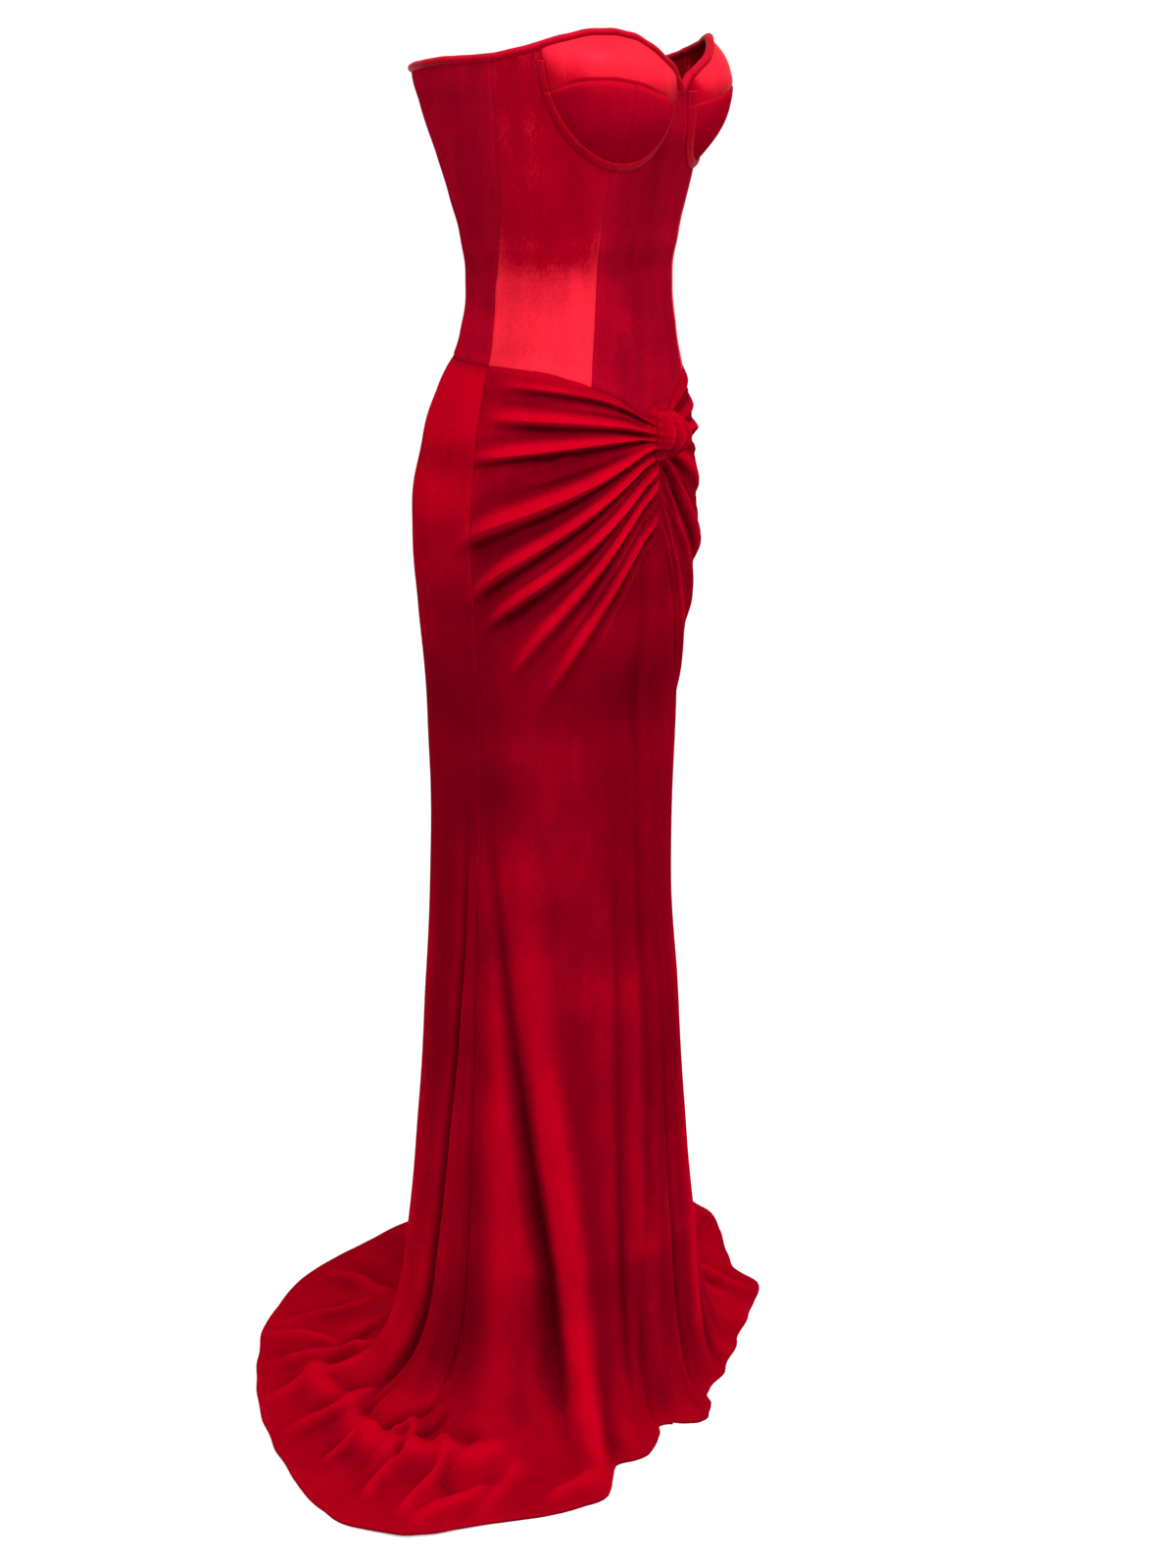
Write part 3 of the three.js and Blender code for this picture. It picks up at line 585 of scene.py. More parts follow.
def face_normals(face, turn, height):
    """Normals of a face, alike on both sides of a seam."""
    across = face(turn - NORMAL_TURN, height) - face(turn + NORMAL_TURN, height)
    upward = face(turn, height + NORMAL_HEIGHT) - face(turn, np.maximum(height - NORMAL_HEIGHT, 0))
    normal = np.cross(across, upward)
    return normal / np.maximum(np.linalg.norm(normal, axis=-1, keepdims=True), SHORTEST_NORMAL)


def grid_normals(points):
    """Normals of a grid of points, pointing away from the gown's axis or up."""
    across = np.gradient(points, axis=1)
    along = np.gradient(points, axis=0)
    normal = np.cross(across, along)
    normal /= np.maximum(np.linalg.norm(normal, axis=-1, keepdims=True), SHORTEST_NORMAL)
    outward = points * np.array([1, 1, 0]) / OUTWARD_RADIUS + np.array([0, 0, OUTWARD_UP])
    if (normal * outward).sum() < 0:
        normal = -normal
    return normal


def shell_mesh(name, outer, inner):
    """A closed wall between two like grids of points in millimetres."""
    rows, columns = outer.shape[:2]
    count = rows * columns
    points = np.concatenate([outer.reshape(-1, 3), inner.reshape(-1, 3)]) * MM
    index = np.arange(count).reshape(rows, columns)
    a, b, c, d = index[:-1, :-1], index[:-1, 1:], index[1:, 1:], index[1:, :-1]
    top = np.stack([a, b, c, d], -1).reshape(-1, 4)
    under = np.stack([a, d, c, b], -1).reshape(-1, 4) + count
    rim = np.concatenate([index[0, :], index[1:, -1], index[-1, -2::-1], index[-2:0:-1, 0]])
    after = np.roll(rim, -1)
    edge = np.stack([rim, rim + count, after + count, after], -1)
    faces = np.concatenate([top, under, edge])
    mesh = bpy.data.meshes.new(name)
    mesh.from_pydata(points.tolist(), [], faces.tolist())
    mesh.update()
    return mesh


def place_piece(name, mesh, material, node):
    piece = bpy.data.objects.new(name, mesh)
    bpy.context.collection.objects.link(piece)
    mesh.materials.append(material)
    mesh.polygons.foreach_set("use_smooth", np.ones(len(mesh.polygons), bool))
    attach(piece, "root")
    if node:
        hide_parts(node)
    return piece


def cloth(node, face, turn, height, thickness, material):
    """A wall of cloth in place of a node, between a face and the same face moved in."""
    name = f"{node}_cloth"
    points = face(turn, height)
    normal = face_normals(face, turn, height)
    mesh = shell_mesh(name, points, points - normal * thickness)
    mark_relief(mesh, points, normal)
    piece = place_piece(name, mesh, material, node)
    mesh.set_sharp_from_angle(angle=RIM_ANGLE)
    return piece, points


def blurred(grid, reach):
    """A grid averaged over its neighbours, both ways."""
    for axis in (0, 1):
        padding = [(reach, reach) if k == axis else (0, 0) for k in range(3)]
        padded = np.pad(grid, padding, mode="reflect", reflect_type="odd")
        total = np.cumsum(padded, axis=axis)
        count = grid.shape[axis]
        ends = np.take(total, np.arange(count) + 2 * reach, axis=axis)
        starts = np.take(total, np.arange(count) - 1, axis=axis, mode="clip")
        first = np.take(starts, [0], axis=axis) * 0
        starts = np.concatenate([first, np.take(starts, np.arange(1, count), axis=axis)], axis=axis)
        grid = (ends - starts) / (2 * reach + 1)
    return grid


def mark_relief(mesh, points, normal):
    """Keeps how far each point stands out from the cloth around it, from -1 to 1, for the velvet to paint
    shade in valleys and highlight on ridges.
    """
    stand = ((points - blurred(points, RELIEF_REACH)) * normal).sum(-1)
    near_floor = smooth((RELIEF_LOW - points[..., 2] - WAIST_HEIGHT) / RELIEF_LOW)
    painted_relief_shade = np.clip(stand / (RELIEF_FULL * (1 + RELIEF_FLOOR * near_floor)), -1, 1).ravel()
    values = np.concatenate([painted_relief_shade, -painted_relief_shade]).astype(np.float32)
    mesh.attributes.new("painted_relief_shade", "FLOAT", "POINT").data.foreach_set("value", values)


def flat_size(points):
    """Width and length of a panel's cut, and its area, in metres."""
    across = np.linalg.norm(np.diff(points, axis=1), axis=-1)
    along = np.linalg.norm(np.diff(points, axis=0), axis=-1)
    width = across.sum(axis=1).max() * MM
    length = along.sum(axis=0).max() * MM
    a = points[1:, 1:] - points[:-1, :-1]
    b = points[1:, :-1] - points[:-1, 1:]
    area = 0.5 * np.linalg.norm(np.cross(a, b), axis=-1).sum() * MM * MM
    return (round(float(width), 3), round(float(length), 3)), round(float(area), 4)


# Materials

def node_link(tree, start, end):
    tree.links.new(start, end)


def weighed_sum(tree, source, weight, base):
    """The base value plus the weighed source."""
    node = tree.nodes.new("ShaderNodeMath")
    node.operation = "MULTIPLY_ADD"
    node.inputs[1].default_value = weight
    node_link(tree, source, node.inputs[0])
    if isinstance(base, float):
        node.inputs[2].default_value = base
    else:
        node_link(tree, base, node.inputs[2])
    return node.outputs[0]


def noise(tree, place, stretch, scale, detail):
    """Noise on the object's own place, stretched along its height."""
    shape = tree.nodes.new("ShaderNodeMapping")
    shape.inputs["Scale"].default_value = (1, 1, stretch)
    node_link(tree, place, shape.inputs["Vector"])
    node = tree.nodes.new("ShaderNodeTexNoise")
    node.inputs["Scale"].default_value = scale
    node.inputs["Detail"].default_value = detail
    node_link(tree, shape.outputs["Vector"], node.inputs["Vector"])
    return ranged(tree, node.outputs["Fac"], *NOISE_RANGE)


def ranged(tree, source, from_min, from_max, to_min=0.0, to_max=1.0):
    node = tree.nodes.new("ShaderNodeMapRange")
    node.interpolation_type = "SMOOTHSTEP"
    node.inputs["From Min"].default_value = from_min
    node.inputs["From Max"].default_value = from_max
    node.inputs["To Min"].default_value = to_min
    node.inputs["To Max"].default_value = to_max
    node_link(tree, source, node.inputs["Value"])
    return node.outputs["Result"]


def product(tree, first, second):
    node = tree.nodes.new("ShaderNodeMath")
    node.operation = "MULTIPLY"
    node_link(tree, first, node.inputs[0])
    node_link(tree, second, node.inputs[1])
    return node.outputs[0]


def velvet(name, painted_shade_colour, middle, painted_highlight_colour, roughness, metal, slopes, fade=None, painted_relief_shade=0.2, mottle=0.22):
    """Velvet with painted light: painted highlight where it faces up and on ridges, painted shade where it
    faces down and in valleys, and mottled pile. A fade dims the painted highlight from one height to
    another, down to a share."""
    material = bpy.data.materials.new(name)
    material.use_nodes = True
    tree = material.node_tree
    shader = tree.nodes["Principled BSDF"]
    coordinates = tree.nodes.new("ShaderNodeTexCoord")
    place = coordinates.outputs["Object"]
    normal = tree.nodes.new("ShaderNodeSeparateXYZ")
    node_link(tree, coordinates.outputs["Normal"], normal.inputs["Vector"])
    level = tree.nodes.new("ShaderNodeSeparateXYZ")
    node_link(tree, place, level.inputs["Vector"])
    patches = noise(tree, place, stretch=0.8, scale=12, detail=6)
    crush = noise(tree, place, stretch=0.25, scale=60, detail=5)
    nap = noise(tree, place, stretch=0.6, scale=420, detail=3)
    # Reads the attribute that drives the painted shade in valleys and the painted highlight on ridges.
    stand = tree.nodes.new("ShaderNodeAttribute")
    stand.attribute_name = "painted_relief_shade"
    # Painted light from above: the colour is lighter where the surface faces up and deeper where it faces
    # down.
    painted_top_light = ranged(tree, normal.outputs["Z"], slopes[0], slopes[1])
    # The fade confines the painted highlight to below a height, as on the side front panel.
    if fade:
        painted_top_light = product(tree, painted_top_light, ranged(tree, level.outputs["Z"], fade[0], fade[1], 1.0, fade[2]))
    value = weighed_sum(tree, painted_top_light, PAINTED_TOP_LIGHT_SHARE, BASE_SHADE - NOISE_MEAN * mottle)
    value = weighed_sum(tree, patches, mottle * PATCH_SHARE, value)
    value = weighed_sum(tree, crush, mottle * FINE_SHARE, value)
    value = weighed_sum(tree, nap, mottle * FINE_SHARE, value)
    # Painted shade in the cloth's valleys and painted highlight on its ridges.
    value = weighed_sum(tree, stand.outputs["Fac"], painted_relief_shade, value)
    # The ramp runs from a painted shade colour, through the velvet's own colour, to a painted highlight
    # colour.
    ramp = tree.nodes.new("ShaderNodeValToRGB")
    ramp.color_ramp.elements[0].position = 0.0
    ramp.color_ramp.elements[0].color = (*painted_shade_colour, 1)
    ramp.color_ramp.elements[1].position = RAMP_BRIGHT
    ramp.color_ramp.elements[1].color = (*painted_highlight_colour, 1)
    half = ramp.color_ramp.elements.new(RAMP_MIDDLE)
    half.color = (*middle, 1)
    node_link(tree, value, ramp.inputs["Fac"])
    node_link(tree, ramp.outputs["Color"], shader.inputs["Base Color"])
    uneven = ranged(tree, patches, *ROUGHNESS_RANGE, roughness - ROUGHNESS_SPREAD,
                    roughness + ROUGHNESS_SPREAD)
    node_link(tree, uneven, shader.inputs["Roughness"])
    bump = tree.nodes.new("ShaderNodeBump")
    bump.inputs["Strength"].default_value = PILE_STRENGTH
    bump.inputs["Distance"].default_value = PILE_HEIGHT
    node_link(tree, weighed_sum(tree, crush, PILE_CRUSH_SHARE, nap), bump.inputs["Height"])
    node_link(tree, bump.outputs["Normal"], shader.inputs["Normal"])
    shader.inputs["Metallic"].default_value = metal
    shader.inputs["Specular IOR Level"].default_value = GLOSS if metal else 0.0
    shader.inputs["Specular Tint"].default_value = GLOSS_TINT
    shader.inputs["Sheen Weight"].default_value = SHEEN
    shader.inputs["Sheen Roughness"].default_value = SHEEN_ROUGHNESS
    shader.inputs["Sheen Tint"].default_value = SHEEN_TINT
    return material


# The bodice velvet. Its stronger mottle stands for crushed pile and for soft painted highlight patches.
BODICE = velvet(
    "bodice velvet", painted_shade_colour=(0.09, 0, 0.003), middle=(0.23, 0.0006, 0.01), painted_highlight_colour=(0.5, 0.001, 0.018),
    roughness=0.42, metal=0.0, slopes=(-0.8, 1.0), mottle=0.34)
# The side front panel: the bodice velvet in lighter copies, with a painted highlight where it faces up
# below the waist, dimmed above by the fade.
PAINTED_HIGHLIGHT_PANEL = velvet(
    "side panel velvet with painted highlight", painted_shade_colour=(0.09, 0, 0.003), middle=(0.28, 0.0, 0.009), painted_highlight_colour=(0.9, 0.02, 0.042),
    roughness=0.36, metal=0.12, slopes=(-0.8, 0.15), fade=(-0.03, 0.085, 0.33), painted_relief_shade=0.08, mottle=0.3)
# The cup band: satin-backed velvet, lighter than the bodice, with a painted highlight where it faces up.
CUP = velvet(
    "cup velvet", painted_shade_colour=(0.13, 0, 0.003), middle=(0.42, 0.001, 0.012), painted_highlight_colour=(0.95, 0.02, 0.042),
    roughness=0.34, metal=0.1, slopes=(-0.25, 0.45))
LOW_CUP = velvet(
    "low cup velvet", painted_shade_colour=(0.08, 0, 0.003), middle=(0.24, 0, 0.009), painted_highlight_colour=(0.5, 0.002, 0.016),
    roughness=0.4, metal=0.0, slopes=(-0.8, 0.7))
TRIM = velvet(
    "trim velvet", painted_shade_colour=(0.13, 0, 0.004), middle=(0.36, 0.001, 0.012), painted_highlight_colour=(0.62, 0.004, 0.022),
    roughness=0.42, metal=0.02, slopes=(-0.4, 0.7))
# The skirt velvet, with a heavier painted shade in fold valleys and painted highlight on ridges.
SKIRT = velvet(
    "skirt velvet", painted_shade_colour=(0.045, 0, 0.002), middle=(0.185, 0, 0.0068), painted_highlight_colour=(0.52, 0.0, 0.012),
    roughness=0.62, metal=0.0, slopes=(-0.8, 1.4), painted_relief_shade=0.3)
THREAD = velvet(
    "thread", painted_shade_colour=(0.16, 0, 0.004), middle=(0.3, 0, 0.01), painted_highlight_colour=(0.5, 0.003, 0.02),
    roughness=0.5, metal=0.0, slopes=(-0.6, 0.6))


# Stitches

def inset_line(points, distance):
    """The line that lies a distance in from the last row of a grid of points."""
    steps = np.linalg.norm(np.diff(points[::-1], axis=0), axis=-1)
    run = np.concatenate([np.zeros((1, points.shape[1])), np.cumsum(steps, axis=0)])
    line = np.empty((points.shape[1], 3))
    for column in range(points.shape[1]):
        for axis in range(3):
            line[column, axis] = np.interp(distance, run[:, column], points[::-1, column, axis])
    return line


def build_stitches(name, line, normals, length=2.4, pitch=3.6, wide=0.34):
    """Sewing stitches as small lozenges along a line, half sunk into the cloth."""
    steps = np.linalg.norm(np.diff(line, axis=0), axis=1)
    run = np.concatenate([[0], np.cumsum(steps)])
    at = np.arange(pitch, run[-1] - pitch, pitch)
    middle = np.stack([np.interp(at, run, line[:, k]) for k in range(3)], -1)
    up = np.stack([np.interp(at, run, normals[:, k]) for k in range(3)], -1)
    ahead = np.stack([np.interp(at + 1, run, line[:, k]) for k in range(3)], -1) - middle
    ahead /= np.linalg.norm(ahead, axis=1, keepdims=True)
    up /= np.linalg.norm(up, axis=1, keepdims=True)
    aside = np.cross(ahead, up)
    offsets = [-ahead * length / 2, ahead * length / 2, aside * wide, -aside * wide,
               up * STITCH_TOP * wide, -up * wide]
    points = np.stack([middle + offset for offset in offsets], 1).reshape(-1, 3)
    corners = np.array([
        (4, 1, 2), (4, 2, 0), (4, 0, 3), (4, 3, 1), (5, 2, 1), (5, 0, 2), (5, 3, 0), (5, 1, 3)])
    faces = (np.arange(len(at))[:, None, None] * len(offsets) + corners[None]).reshape(-1, 3)
    mesh = bpy.data.meshes.new(name)
    mesh.from_pydata((points * MM).tolist(), [], faces.tolist())
    place_piece(name, mesh, THREAD, None)


# Bodice and cups

def row_grid(low, high, turns_at, rows):
    """Turns and heights of a panel. low and high give heights at each column."""
    part = np.linspace(0, 1, rows)[:, None]
    height = mix(low[None, :], high[None, :], part)
    return turns_at(height), height


def edge_under_binding(turn):
    return read(NECKLINE, np.abs(turn)) - UNDER_BINDING


def bodice_panel(side, shares, seams, top_height):
    """Turns and heights of a panel between two seams, from the waist seam to its top."""
    shares = np.asarray(shares)

    def turns_at(height):
        first, last = seams(height)
        return mix(first, last, shares[None, :])

    high = top_height(turns_at(np.full((1, len(shares)), CUP_LOW_HEIGHT))[0])
    low = np.full(len(shares), WAIST_SEAM_START)
    for _ in range(WAIST_SEAM_PASSES):
        low = read(WAIST_SEAM, turns_at(low[None, :])[0]) + SEAM_GAP / 2
    turn, height = row_grid(low, high, turns_at, BODICE_ROWS)
    return side * turn, height


def cup_turns(count):
    """Columns across the cup, closer together at its steep ends."""
    part = np.linspace(-np.pi / 2, np.pi / 2, count)
    wide = np.sin(part)
    middle = (CUP_FIRST_TURN + CUP_LAST_TURN) / 2
    return middle + wide * (CUP_LAST_TURN - CUP_FIRST_TURN) / 2


def build_bodice(side, hand):
    split = float(read(PRINCESS_SEAM, CUP_LOW_HEIGHT))
    side_turn = float(read(SIDE_SEAM, CUP_LOW_HEIGHT))
    columns = cup_turns(CUP_COLUMNS)

    def front_top(turn):
        return np.where(turn < CUP_FIRST_TURN, edge_under_binding(turn), wire_height(turn))

    def side_top(turn):
        return np.where(turn > CUP_LAST_TURN, edge_under_binding(turn), wire_height(turn))

    before_cup = np.linspace(0, BEFORE_CUP_TURN, BEFORE_CUP_COLUMNS)
    past_cup = np.linspace(CUP_LAST_TURN + PAST_CUP_TURN, side_turn, PAST_CUP_COLUMNS)
    front = np.concatenate([before_cup, columns[columns <= split], [split]])
    flank = np.concatenate([[split], columns[columns > split], past_cup])
    panels = {
        "bodice_front": bodice_panel(
            side, front / split, lambda h: (0 * h, read(PRINCESS_SEAM, h)), front_top),
        "bodice_side": bodice_panel(
            side, (flank - split) / (side_turn - split),
            lambda h: (read(PRINCESS_SEAM, h), read(SIDE_SEAM, h)), side_top),
        "bodice_back": bodice_panel(
            side, even_share(BACK_COLUMNS), lambda h: (read(SIDE_SEAM, h), 180 + 0 * h),
            edge_under_binding),
    }
    for name, (turn, height) in panels.items():
        # The side front panel takes the velvet with the painted highlight.
        material = PAINTED_HIGHLIGHT_PANEL if name == "bodice_side" else BODICE
        piece, points = cloth(f"{name}_{hand}", plain_face, turn, height, BODICE_CLOTH, material)
        size, area = flat_size(points)


def build_cup(side, hand):
    columns = cup_turns(CUP_COLUMNS)
    seam = read(CUP_BAND_SEAM, columns)
    wire = wire_height(columns)
    tall = seam - wire > LOW_CUP_LEAST
    inner = tall & (columns < CUP_SPLIT_TURN)
    outer = tall & (columns >= CUP_SPLIT_TURN)
    split_inner = np.append(columns[inner], CUP_SPLIT_TURN)
    split_outer = np.insert(columns[outer], 0, CUP_SPLIT_TURN)
    pieces = {
        "cup_band": (columns, np.maximum(seam, wire), edge_under_binding(columns)),
        "cup_inner": (split_inner, wire_height(split_inner), read(CUP_BAND_SEAM, split_inner)),
        "cup_outer": (split_outer, wire_height(split_outer), read(CUP_BAND_SEAM, split_outer)),
    }
    for name, (turns, low, high) in pieces.items():
        turn, height = row_grid(low, high, lambda h: turns[None, :] + 0 * h, CUP_ROWS)
        material = CUP if name == "cup_band" else LOW_CUP
        piece, points = cloth(f"{name}_{hand}", plain_face, side * turn, height, BODICE_CLOTH, material)
        size, area = flat_size(points)


def wire_place(part):
    """Turn and height along the wire, from its inner end at 0 to its outer end at 1."""
    angle = np.radians(mix(*WIRE_ANGLES, part))
    curve = np.where(angle < 0, CUP_INNER_CURVE, CUP_OUTER_CURVE)
    across = np.abs(np.sin(angle)) ** (2 / curve)
    turn = CUP_LOW_TURN + np.where(angle < 0, -CUP_INNER_TURNS, CUP_OUTER_TURNS) * across
    return turn, wire_height(turn)


def build_casing(side, hand):
    part = np.linspace(0, 1, CASING_STEPS)[:, None]
    span = np.linspace(-1, 1, CASING_COLUMNS)[None, :]
    turn, height = wire_place(part)
    ahead, behind = wire_place(part + CASING_STEP), wire_place(part - CASING_STEP)
    radius = body_radius(turn, height)
    run = np.radians(ahead[0] - behind[0]) * radius
    rise = ahead[1] - behind[1]
    length = np.hypot(run, rise)
    offset = span * CASING_HALF_WIDTH
    over_turn = turn - rise / length * np.degrees(offset / radius)
    over_height = height + run / length * offset
    base = plain_face(side * over_turn, over_height)
    normal = grid_normals(base)
    beside = (np.abs(span) - STITCH_GROOVE_PLACE) / STITCH_GROOVE_HALF_WIDTH
    groove = MIDDLE_GROOVE_DEPTH * bell(span / MIDDLE_GROOVE_HALF_WIDTH)
    groove = groove + STITCH_GROOVE_DEPTH * bell(beside)
    swell = CASING_SWELL * np.cos(span * np.pi / 2) ** 0.5 + CASING_EDGE - groove
    outer = base + normal * (CASING_OUT + swell)[..., None]
    mesh = shell_mesh(f"wire_casing_{hand}_cloth", outer, base + normal * CASING_ROOT)
    piece = place_piece(f"wire_casing_{hand}_cloth", mesh, TRIM, f"wire_casing_{hand}")
    size, area = flat_size(base)
    for place, column in CASING_STITCH_COLUMNS:
        build_stitches(f"casing_{place}_stitches_{hand}", outer[:, column], normal[:, column])


def build_binding():
    """A rolled edge round the neckline, as a closed tube."""
    turn = np.linspace(-180, 180, BINDING_STEPS, endpoint=False)

    def centre(at):
        edge = read(NECKLINE, np.abs(turn_apart(at, 0)))
        return gown_point(at, edge - BINDING_DROP, -BINDING_INSET)

    middle = centre(turn)
    along = centre(turn + BINDING_TURN) - centre(turn - BINDING_TURN)
    along /= np.linalg.norm(along, axis=1, keepdims=True)
    out = np.stack([-np.sin(np.radians(turn)), -np.cos(np.radians(turn)), 0 * turn], -1)
    out -= along * (out * along).sum(1, keepdims=True)
    out /= np.linalg.norm(out, axis=1, keepdims=True)
    up = np.cross(along, out)
    angle = np.linspace(0, 2 * np.pi, BINDING_SIDES, endpoint=False)[None, :]
    wrinkle = 1 + WRINKLE_SHARE * np.sin(np.radians(turn) * WRINKLE_COUNT)[:, None] * np.sin(angle + 1)
    ring = (np.cos(angle)[..., None] * out[:, None] + np.sin(angle)[..., None] * up[:, None])
    points = middle[:, None] + ring * (BINDING_RADIUS * wrinkle)[..., None]
    index = np.arange(BINDING_STEPS * BINDING_SIDES).reshape(BINDING_STEPS, BINDING_SIDES)
    a, b = index, np.roll(index, -1, 1)
    c, d = np.roll(b, -1, 0), np.roll(a, -1, 0)
    faces = np.stack([a, b, c, d], -1).reshape(-1, 4)
    mesh = bpy.data.meshes.new("neckline_binding_cloth")
    mesh.from_pydata((points.reshape(-1, 3) * MM).tolist(), [], faces.tolist())
    piece = place_piece("neckline_binding_cloth", mesh, TRIM, "neckline_binding")


# Skirt


def even_share(count):
    """Shares from 0 to 1, closer together at both ends, where the seams are."""
    part = np.linspace(0, 1, count)
    return part - SEAM_CLOSENESS * np.sin(2 * np.pi * part) / (2 * np.pi)


def lower_height(turn, part):
    """Height of a row below the gathers, from their last fold at 0 to the hem at 1."""
    start = fold_height(FOLD_END, np.minimum(np.abs(turn), FAN_LIMIT))
    return start * (1 - part) ** LOWER_POWER


def fan_lines(folds):
    """Rows that follow the gathers, each as its heights at FOLD_TURNS."""
    seam = tuple(float(read(WAIST_SEAM, turn)) for turn in FOLD_TURNS)
    lines = [seam] + [fold[:3] for fold in folds] + [FOLD_END]
    rows = []
    for upper, lower in zip(lines, lines[1:]):
        for step in range(FAN_STEPS):
            rows.append(tuple(mix(a, b, step / FAN_STEPS) for a, b in zip(upper, lower)))
    return rows


def front_panel(side, edge_turn):
    """Turns and heights of a front panel, from its free edge to the side seam."""
    share = even_share(FRONT_TURNS)
    rows = []
    fan = fan_lines(NEAR_FOLDS if side > 0 else FAR_FOLDS)
    for k, heights in enumerate(fan):
        def height_at(turn, heights=heights, k=k):
            angle = np.minimum(np.abs(turn), FAN_LIMIT)
            seam = read(WAIST_SEAM, angle) - SEAM_GAP / 2
            return np.minimum(fold_height(heights, angle), seam - FAN_LINE_GAP * k) if k else seam
        rows.append(height_at)
    for part in np.linspace(0, 1, LOWER_STEPS):
        rows.append(lambda turn, part=part: lower_height(turn, part))
    turns, heights = [], []
    for height_at in rows:
        height = height_at(mix(*FIRST_TURNS, share))
        for _ in range(SIDE_SEAM_PASSES):
            seam_turn = side * read(SIDE_SEAM, height)
            turn = mix(edge_turn(height), seam_turn, share)
            height = height_at(turn)
        turns.append(turn)
        heights.append(height)
    return np.array(turns), np.array(heights)


def back_panel(side):
    """Turns and heights of a back panel, from the side seam to the centre back."""
    share = even_share(BACK_TURNS)
    low = float(lower_height(np.array(FAN_LIMIT), 0))
    seam = read(WAIST_SEAM, mix(FAN_LIMIT, 180, share)) - SEAM_GAP / 2
    heights = [mix(seam, low, part) for part in np.linspace(0, 1, BACK_UPPER_STEPS, endpoint=False)]
    for part in np.linspace(0, 1, LOWER_STEPS):
        heights.append(lower_height(np.full(BACK_TURNS, float(FAN_LIMIT)), part))
    height = np.array(heights)
    start = read(SIDE_SEAM, height)
    return side * mix(start, 180, share[None, :]), height


def build_skirt():
    panels = {
        "skirt_front_right": (wrap_face, front_panel(1, lambda h: read(WRAP_EDGE, h))),
        "skirt_front_left": (plain_face, front_panel(-1, lambda h: read(WRAP_EDGE, h) + UNDERLAP_TURN)),
        "skirt_back_right": (plain_face, back_panel(1)),
        "skirt_back_left": (plain_face, back_panel(-1)),
    }
    for name, (face, (turn, height)) in panels.items():
        piece, points = cloth(name, face, turn, height, SKIRT_CLOTH, SKIRT)
        size, area = flat_size(points)
        held = "gathered" if "front" in name else "hung"
        ["knot_wrap_cloth"] if "front" in name else []
        up = np.tile([0.0, 0.0, 1.0], (points.shape[1], 1))
        stitch_line = inset_line(points, HEM_FOLD)
        build_stitches(name.replace("skirt", "hem_stitches"), stitch_line, up)


def knot_width(up):
    """The band's share of its full width, less at its top and bottom."""
    return KNOT_END_WIDTH + KNOT_MORE_WIDTH * np.sin(np.clip(up, 0, 1) * np.pi)


def knot_turn(across, up):
    """Turns over the knot, which leans to one side."""
    return mix(*KNOT_TURNS, across) * knot_width(up) + mix(KNOT_LEAN, -KNOT_LEAN, up)


def knot_arch(up):
    return np.maximum(np.sin(np.clip(up, 0, 1) * np.pi), 0) ** KNOT_ARCH_POWER


def knot_stand(arch, edge, inset):
    """How far the band stands out, less toward its edges."""
    return (KNOT_STAND - inset) * arch * (1 - KNOT_EDGE_LOSS * edge ** KNOT_EDGE_POWER)


def build_knot():
    across = np.linspace(0, 1, KNOT_COLUMNS)[None, :]
    up = np.linspace(0, 1, KNOT_ROWS)[:, None]

    def place(inset):
        turn = knot_turn(across, up)
        height = mix(KNOT_HEIGHTS[0] + inset, KNOT_HEIGHTS[1] - inset, up)
        edge = np.abs(2 * across - 1)
        arch = knot_arch(up)
        rib = KNOT_RIB * np.cos(across * KNOT_RIBS * 2 * np.pi + KNOT_RIB_SLANT * up)
        middle = arch * (1 - edge ** KNOT_EDGE_POWER)
        stand = knot_stand(arch, edge, inset) + rib * arch
        return gown_point(turn, height + 0 * across, KNOT_BASE + stand - middle * gather_rise(turn, height))

    points = place(0)
    mesh = shell_mesh("knot_wrap_cloth", points, place(SKIRT_CLOTH))
    mark_relief(mesh, points, grid_normals(points))
    piece = place_piece("knot_wrap_cloth", mesh, SKIRT, "knot_wrap")
    size, area = flat_size(points)


def build_knot_core():
    """The gathered cloth of both front panels, where it fills the knot's band."""
    aside = np.linspace(-1 - CORE_PAST, 1 + CORE_PAST, KNOT_COLUMNS)[None, :]
    up = np.linspace(-CORE_PAST / 2, 1 + CORE_PAST / 2, CORE_ROWS)[:, None]
    turn = knot_turn((aside + 1) / 2, up)
    height = mix(KNOT_HEIGHTS[0], KNOT_HEIGHTS[1], up) + 0 * aside
    edge = np.minimum(np.abs(aside), 1)
    arch = knot_arch(up)
    pleat = PLEAT * np.cos(up * 2 * np.pi * PLEATS + PLEAT_SLANT * aside)
    under_band = KNOT_BASE + knot_stand(arch, edge, SKIRT_CLOTH) - CORE_BELOW - CORE_BELOW_MIDDLE * arch
    inside = smooth((1 + CORE_PAST - np.abs(aside)) / CORE_PAST)
    inside = inside * smooth(up / (CORE_PAST / 2) + 1) * smooth((1 - up) / (CORE_PAST / 2) + 1)
    outer = mix(CORE_ROOT, under_band, inside)
    outer = outer + pleat * smooth((np.abs(aside) - PLEAT_START) / PLEAT_FADE)
    middle = arch * (1 - edge ** KNOT_EDGE_POWER) * gather_rise(turn, height)
    face = gown_point(turn, height, outer - middle)
    root = gown_point(turn, height, CORE_ROOT - CORE_WALL - middle)
    mesh = shell_mesh("knot_gathers_cloth", face, root)
    mark_relief(mesh, face, grid_normals(face))
    piece = place_piece("knot_gathers_cloth", mesh, SKIRT, None)


# Stage, lights and camera

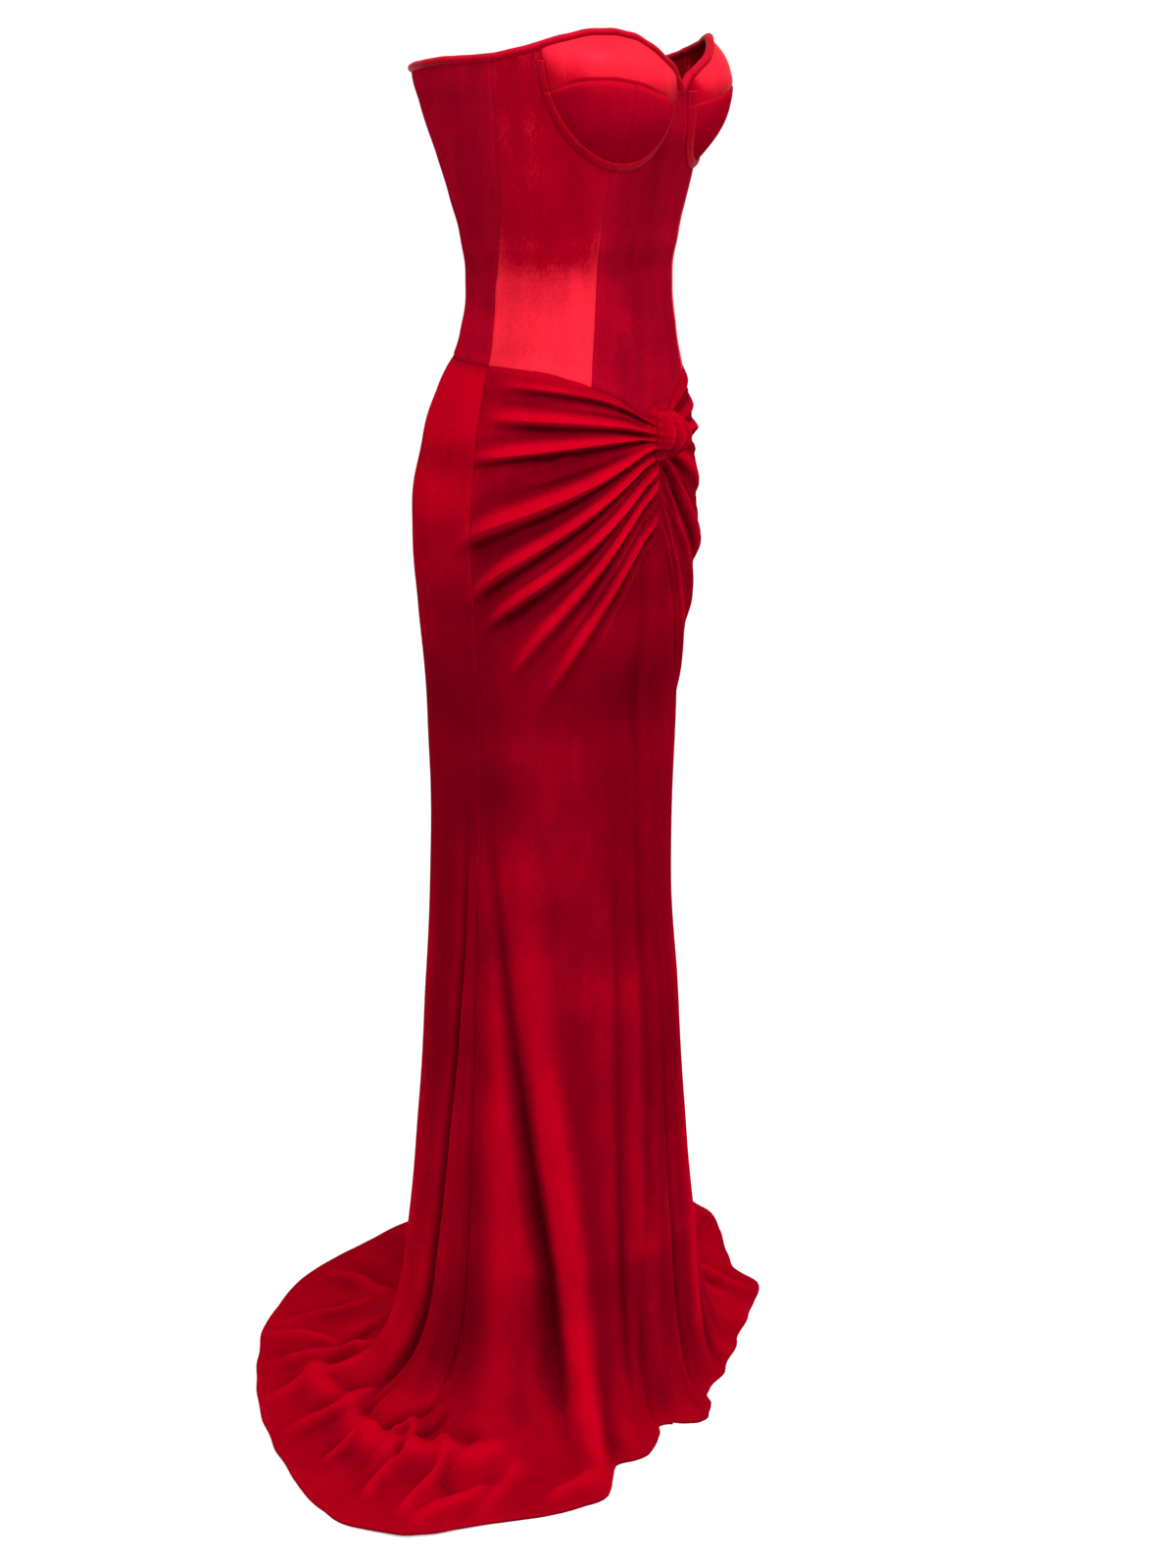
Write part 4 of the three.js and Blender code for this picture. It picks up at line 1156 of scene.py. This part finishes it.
def build_stage():
    bpy.ops.mesh.primitive_plane_add(size=FLOOR_SIZE, location=(0, 0, -WAIST_HEIGHT * MM))
    floor = bpy.context.object
    floor.name = "studio_floor"
    material = bpy.data.materials.new("studio floor")
    material.use_nodes = True
    shader = material.node_tree.nodes["Principled BSDF"]
    shader.inputs["Base Color"].default_value = FLOOR_COLOUR
    shader.inputs["Roughness"].default_value = FLOOR_ROUGHNESS
    shader.inputs["Emission Color"].default_value = WHITE
    shader.inputs["Emission Strength"].default_value = FLOOR_GLOW
    floor.data.materials.append(material)
    world = bpy.data.worlds.new("studio")
    world.use_nodes = True
    world.node_tree.nodes["Background"].inputs["Color"].default_value = WHITE
    world.node_tree.nodes["Background"].inputs["Strength"].default_value = SKY_STRENGTH
    bpy.context.scene.world = world
    bpy.context.scene.view_settings.view_transform = "Standard"


def add_light(name, azimuth, distance, height, size, power):
    light = bpy.data.lights.new(name, "AREA")
    light.size = size
    light.energy = power
    lamp = bpy.data.objects.new(name, light)
    angle = math.radians(azimuth)
    lamp.location = (math.sin(angle) * distance, -math.cos(angle) * distance, height)
    lamp.rotation_mode = "QUATERNION"
    aim = Vector((0, 0, LIGHT_AIM)) - lamp.location
    lamp.rotation_quaternion = aim.to_track_quat("-Z", "Y")
    bpy.context.collection.objects.link(lamp)


def build_camera():
    camera = bpy.data.cameras.new("camera")
    camera.sensor_fit = "VERTICAL"
    camera.sensor_height = SENSOR_HEIGHT
    camera.sensor_width = SENSOR_WIDTH
    camera.lens = SENSOR_HEIGHT * (FOCAL_PIXELS / FRAME_PIXELS)
    view = bpy.data.objects.new("camera", camera)
    angle = math.radians(CAMERA_AZIMUTH)
    back = Vector((math.sin(angle), -math.cos(angle), 0))
    right = Vector((math.cos(angle), math.sin(angle), 0))
    view.location = back * CAMERA_DISTANCE + right * CAMERA_ASIDE
    view.location.z = CAMERA_HEIGHT - WAIST_HEIGHT * MM
    pitch = math.radians(CAMERA_PITCH)
    forward = -back * math.cos(pitch) - Vector((0, 0, math.sin(pitch)))
    view.rotation_mode = "QUATERNION"
    view.rotation_quaternion = forward.to_track_quat("-Z", "Y")
    bpy.context.collection.objects.link(view)
    bpy.context.scene.camera = view


build_camera()
build_stage()
for light in LIGHTS:
    add_light(*light)
for side, hand in ((1, "right"), (-1, "left")):
    build_bodice(side, hand)
    build_cup(side, hand)
    build_casing(side, hand)
build_binding()
build_skirt()
build_knot()
build_knot_core()
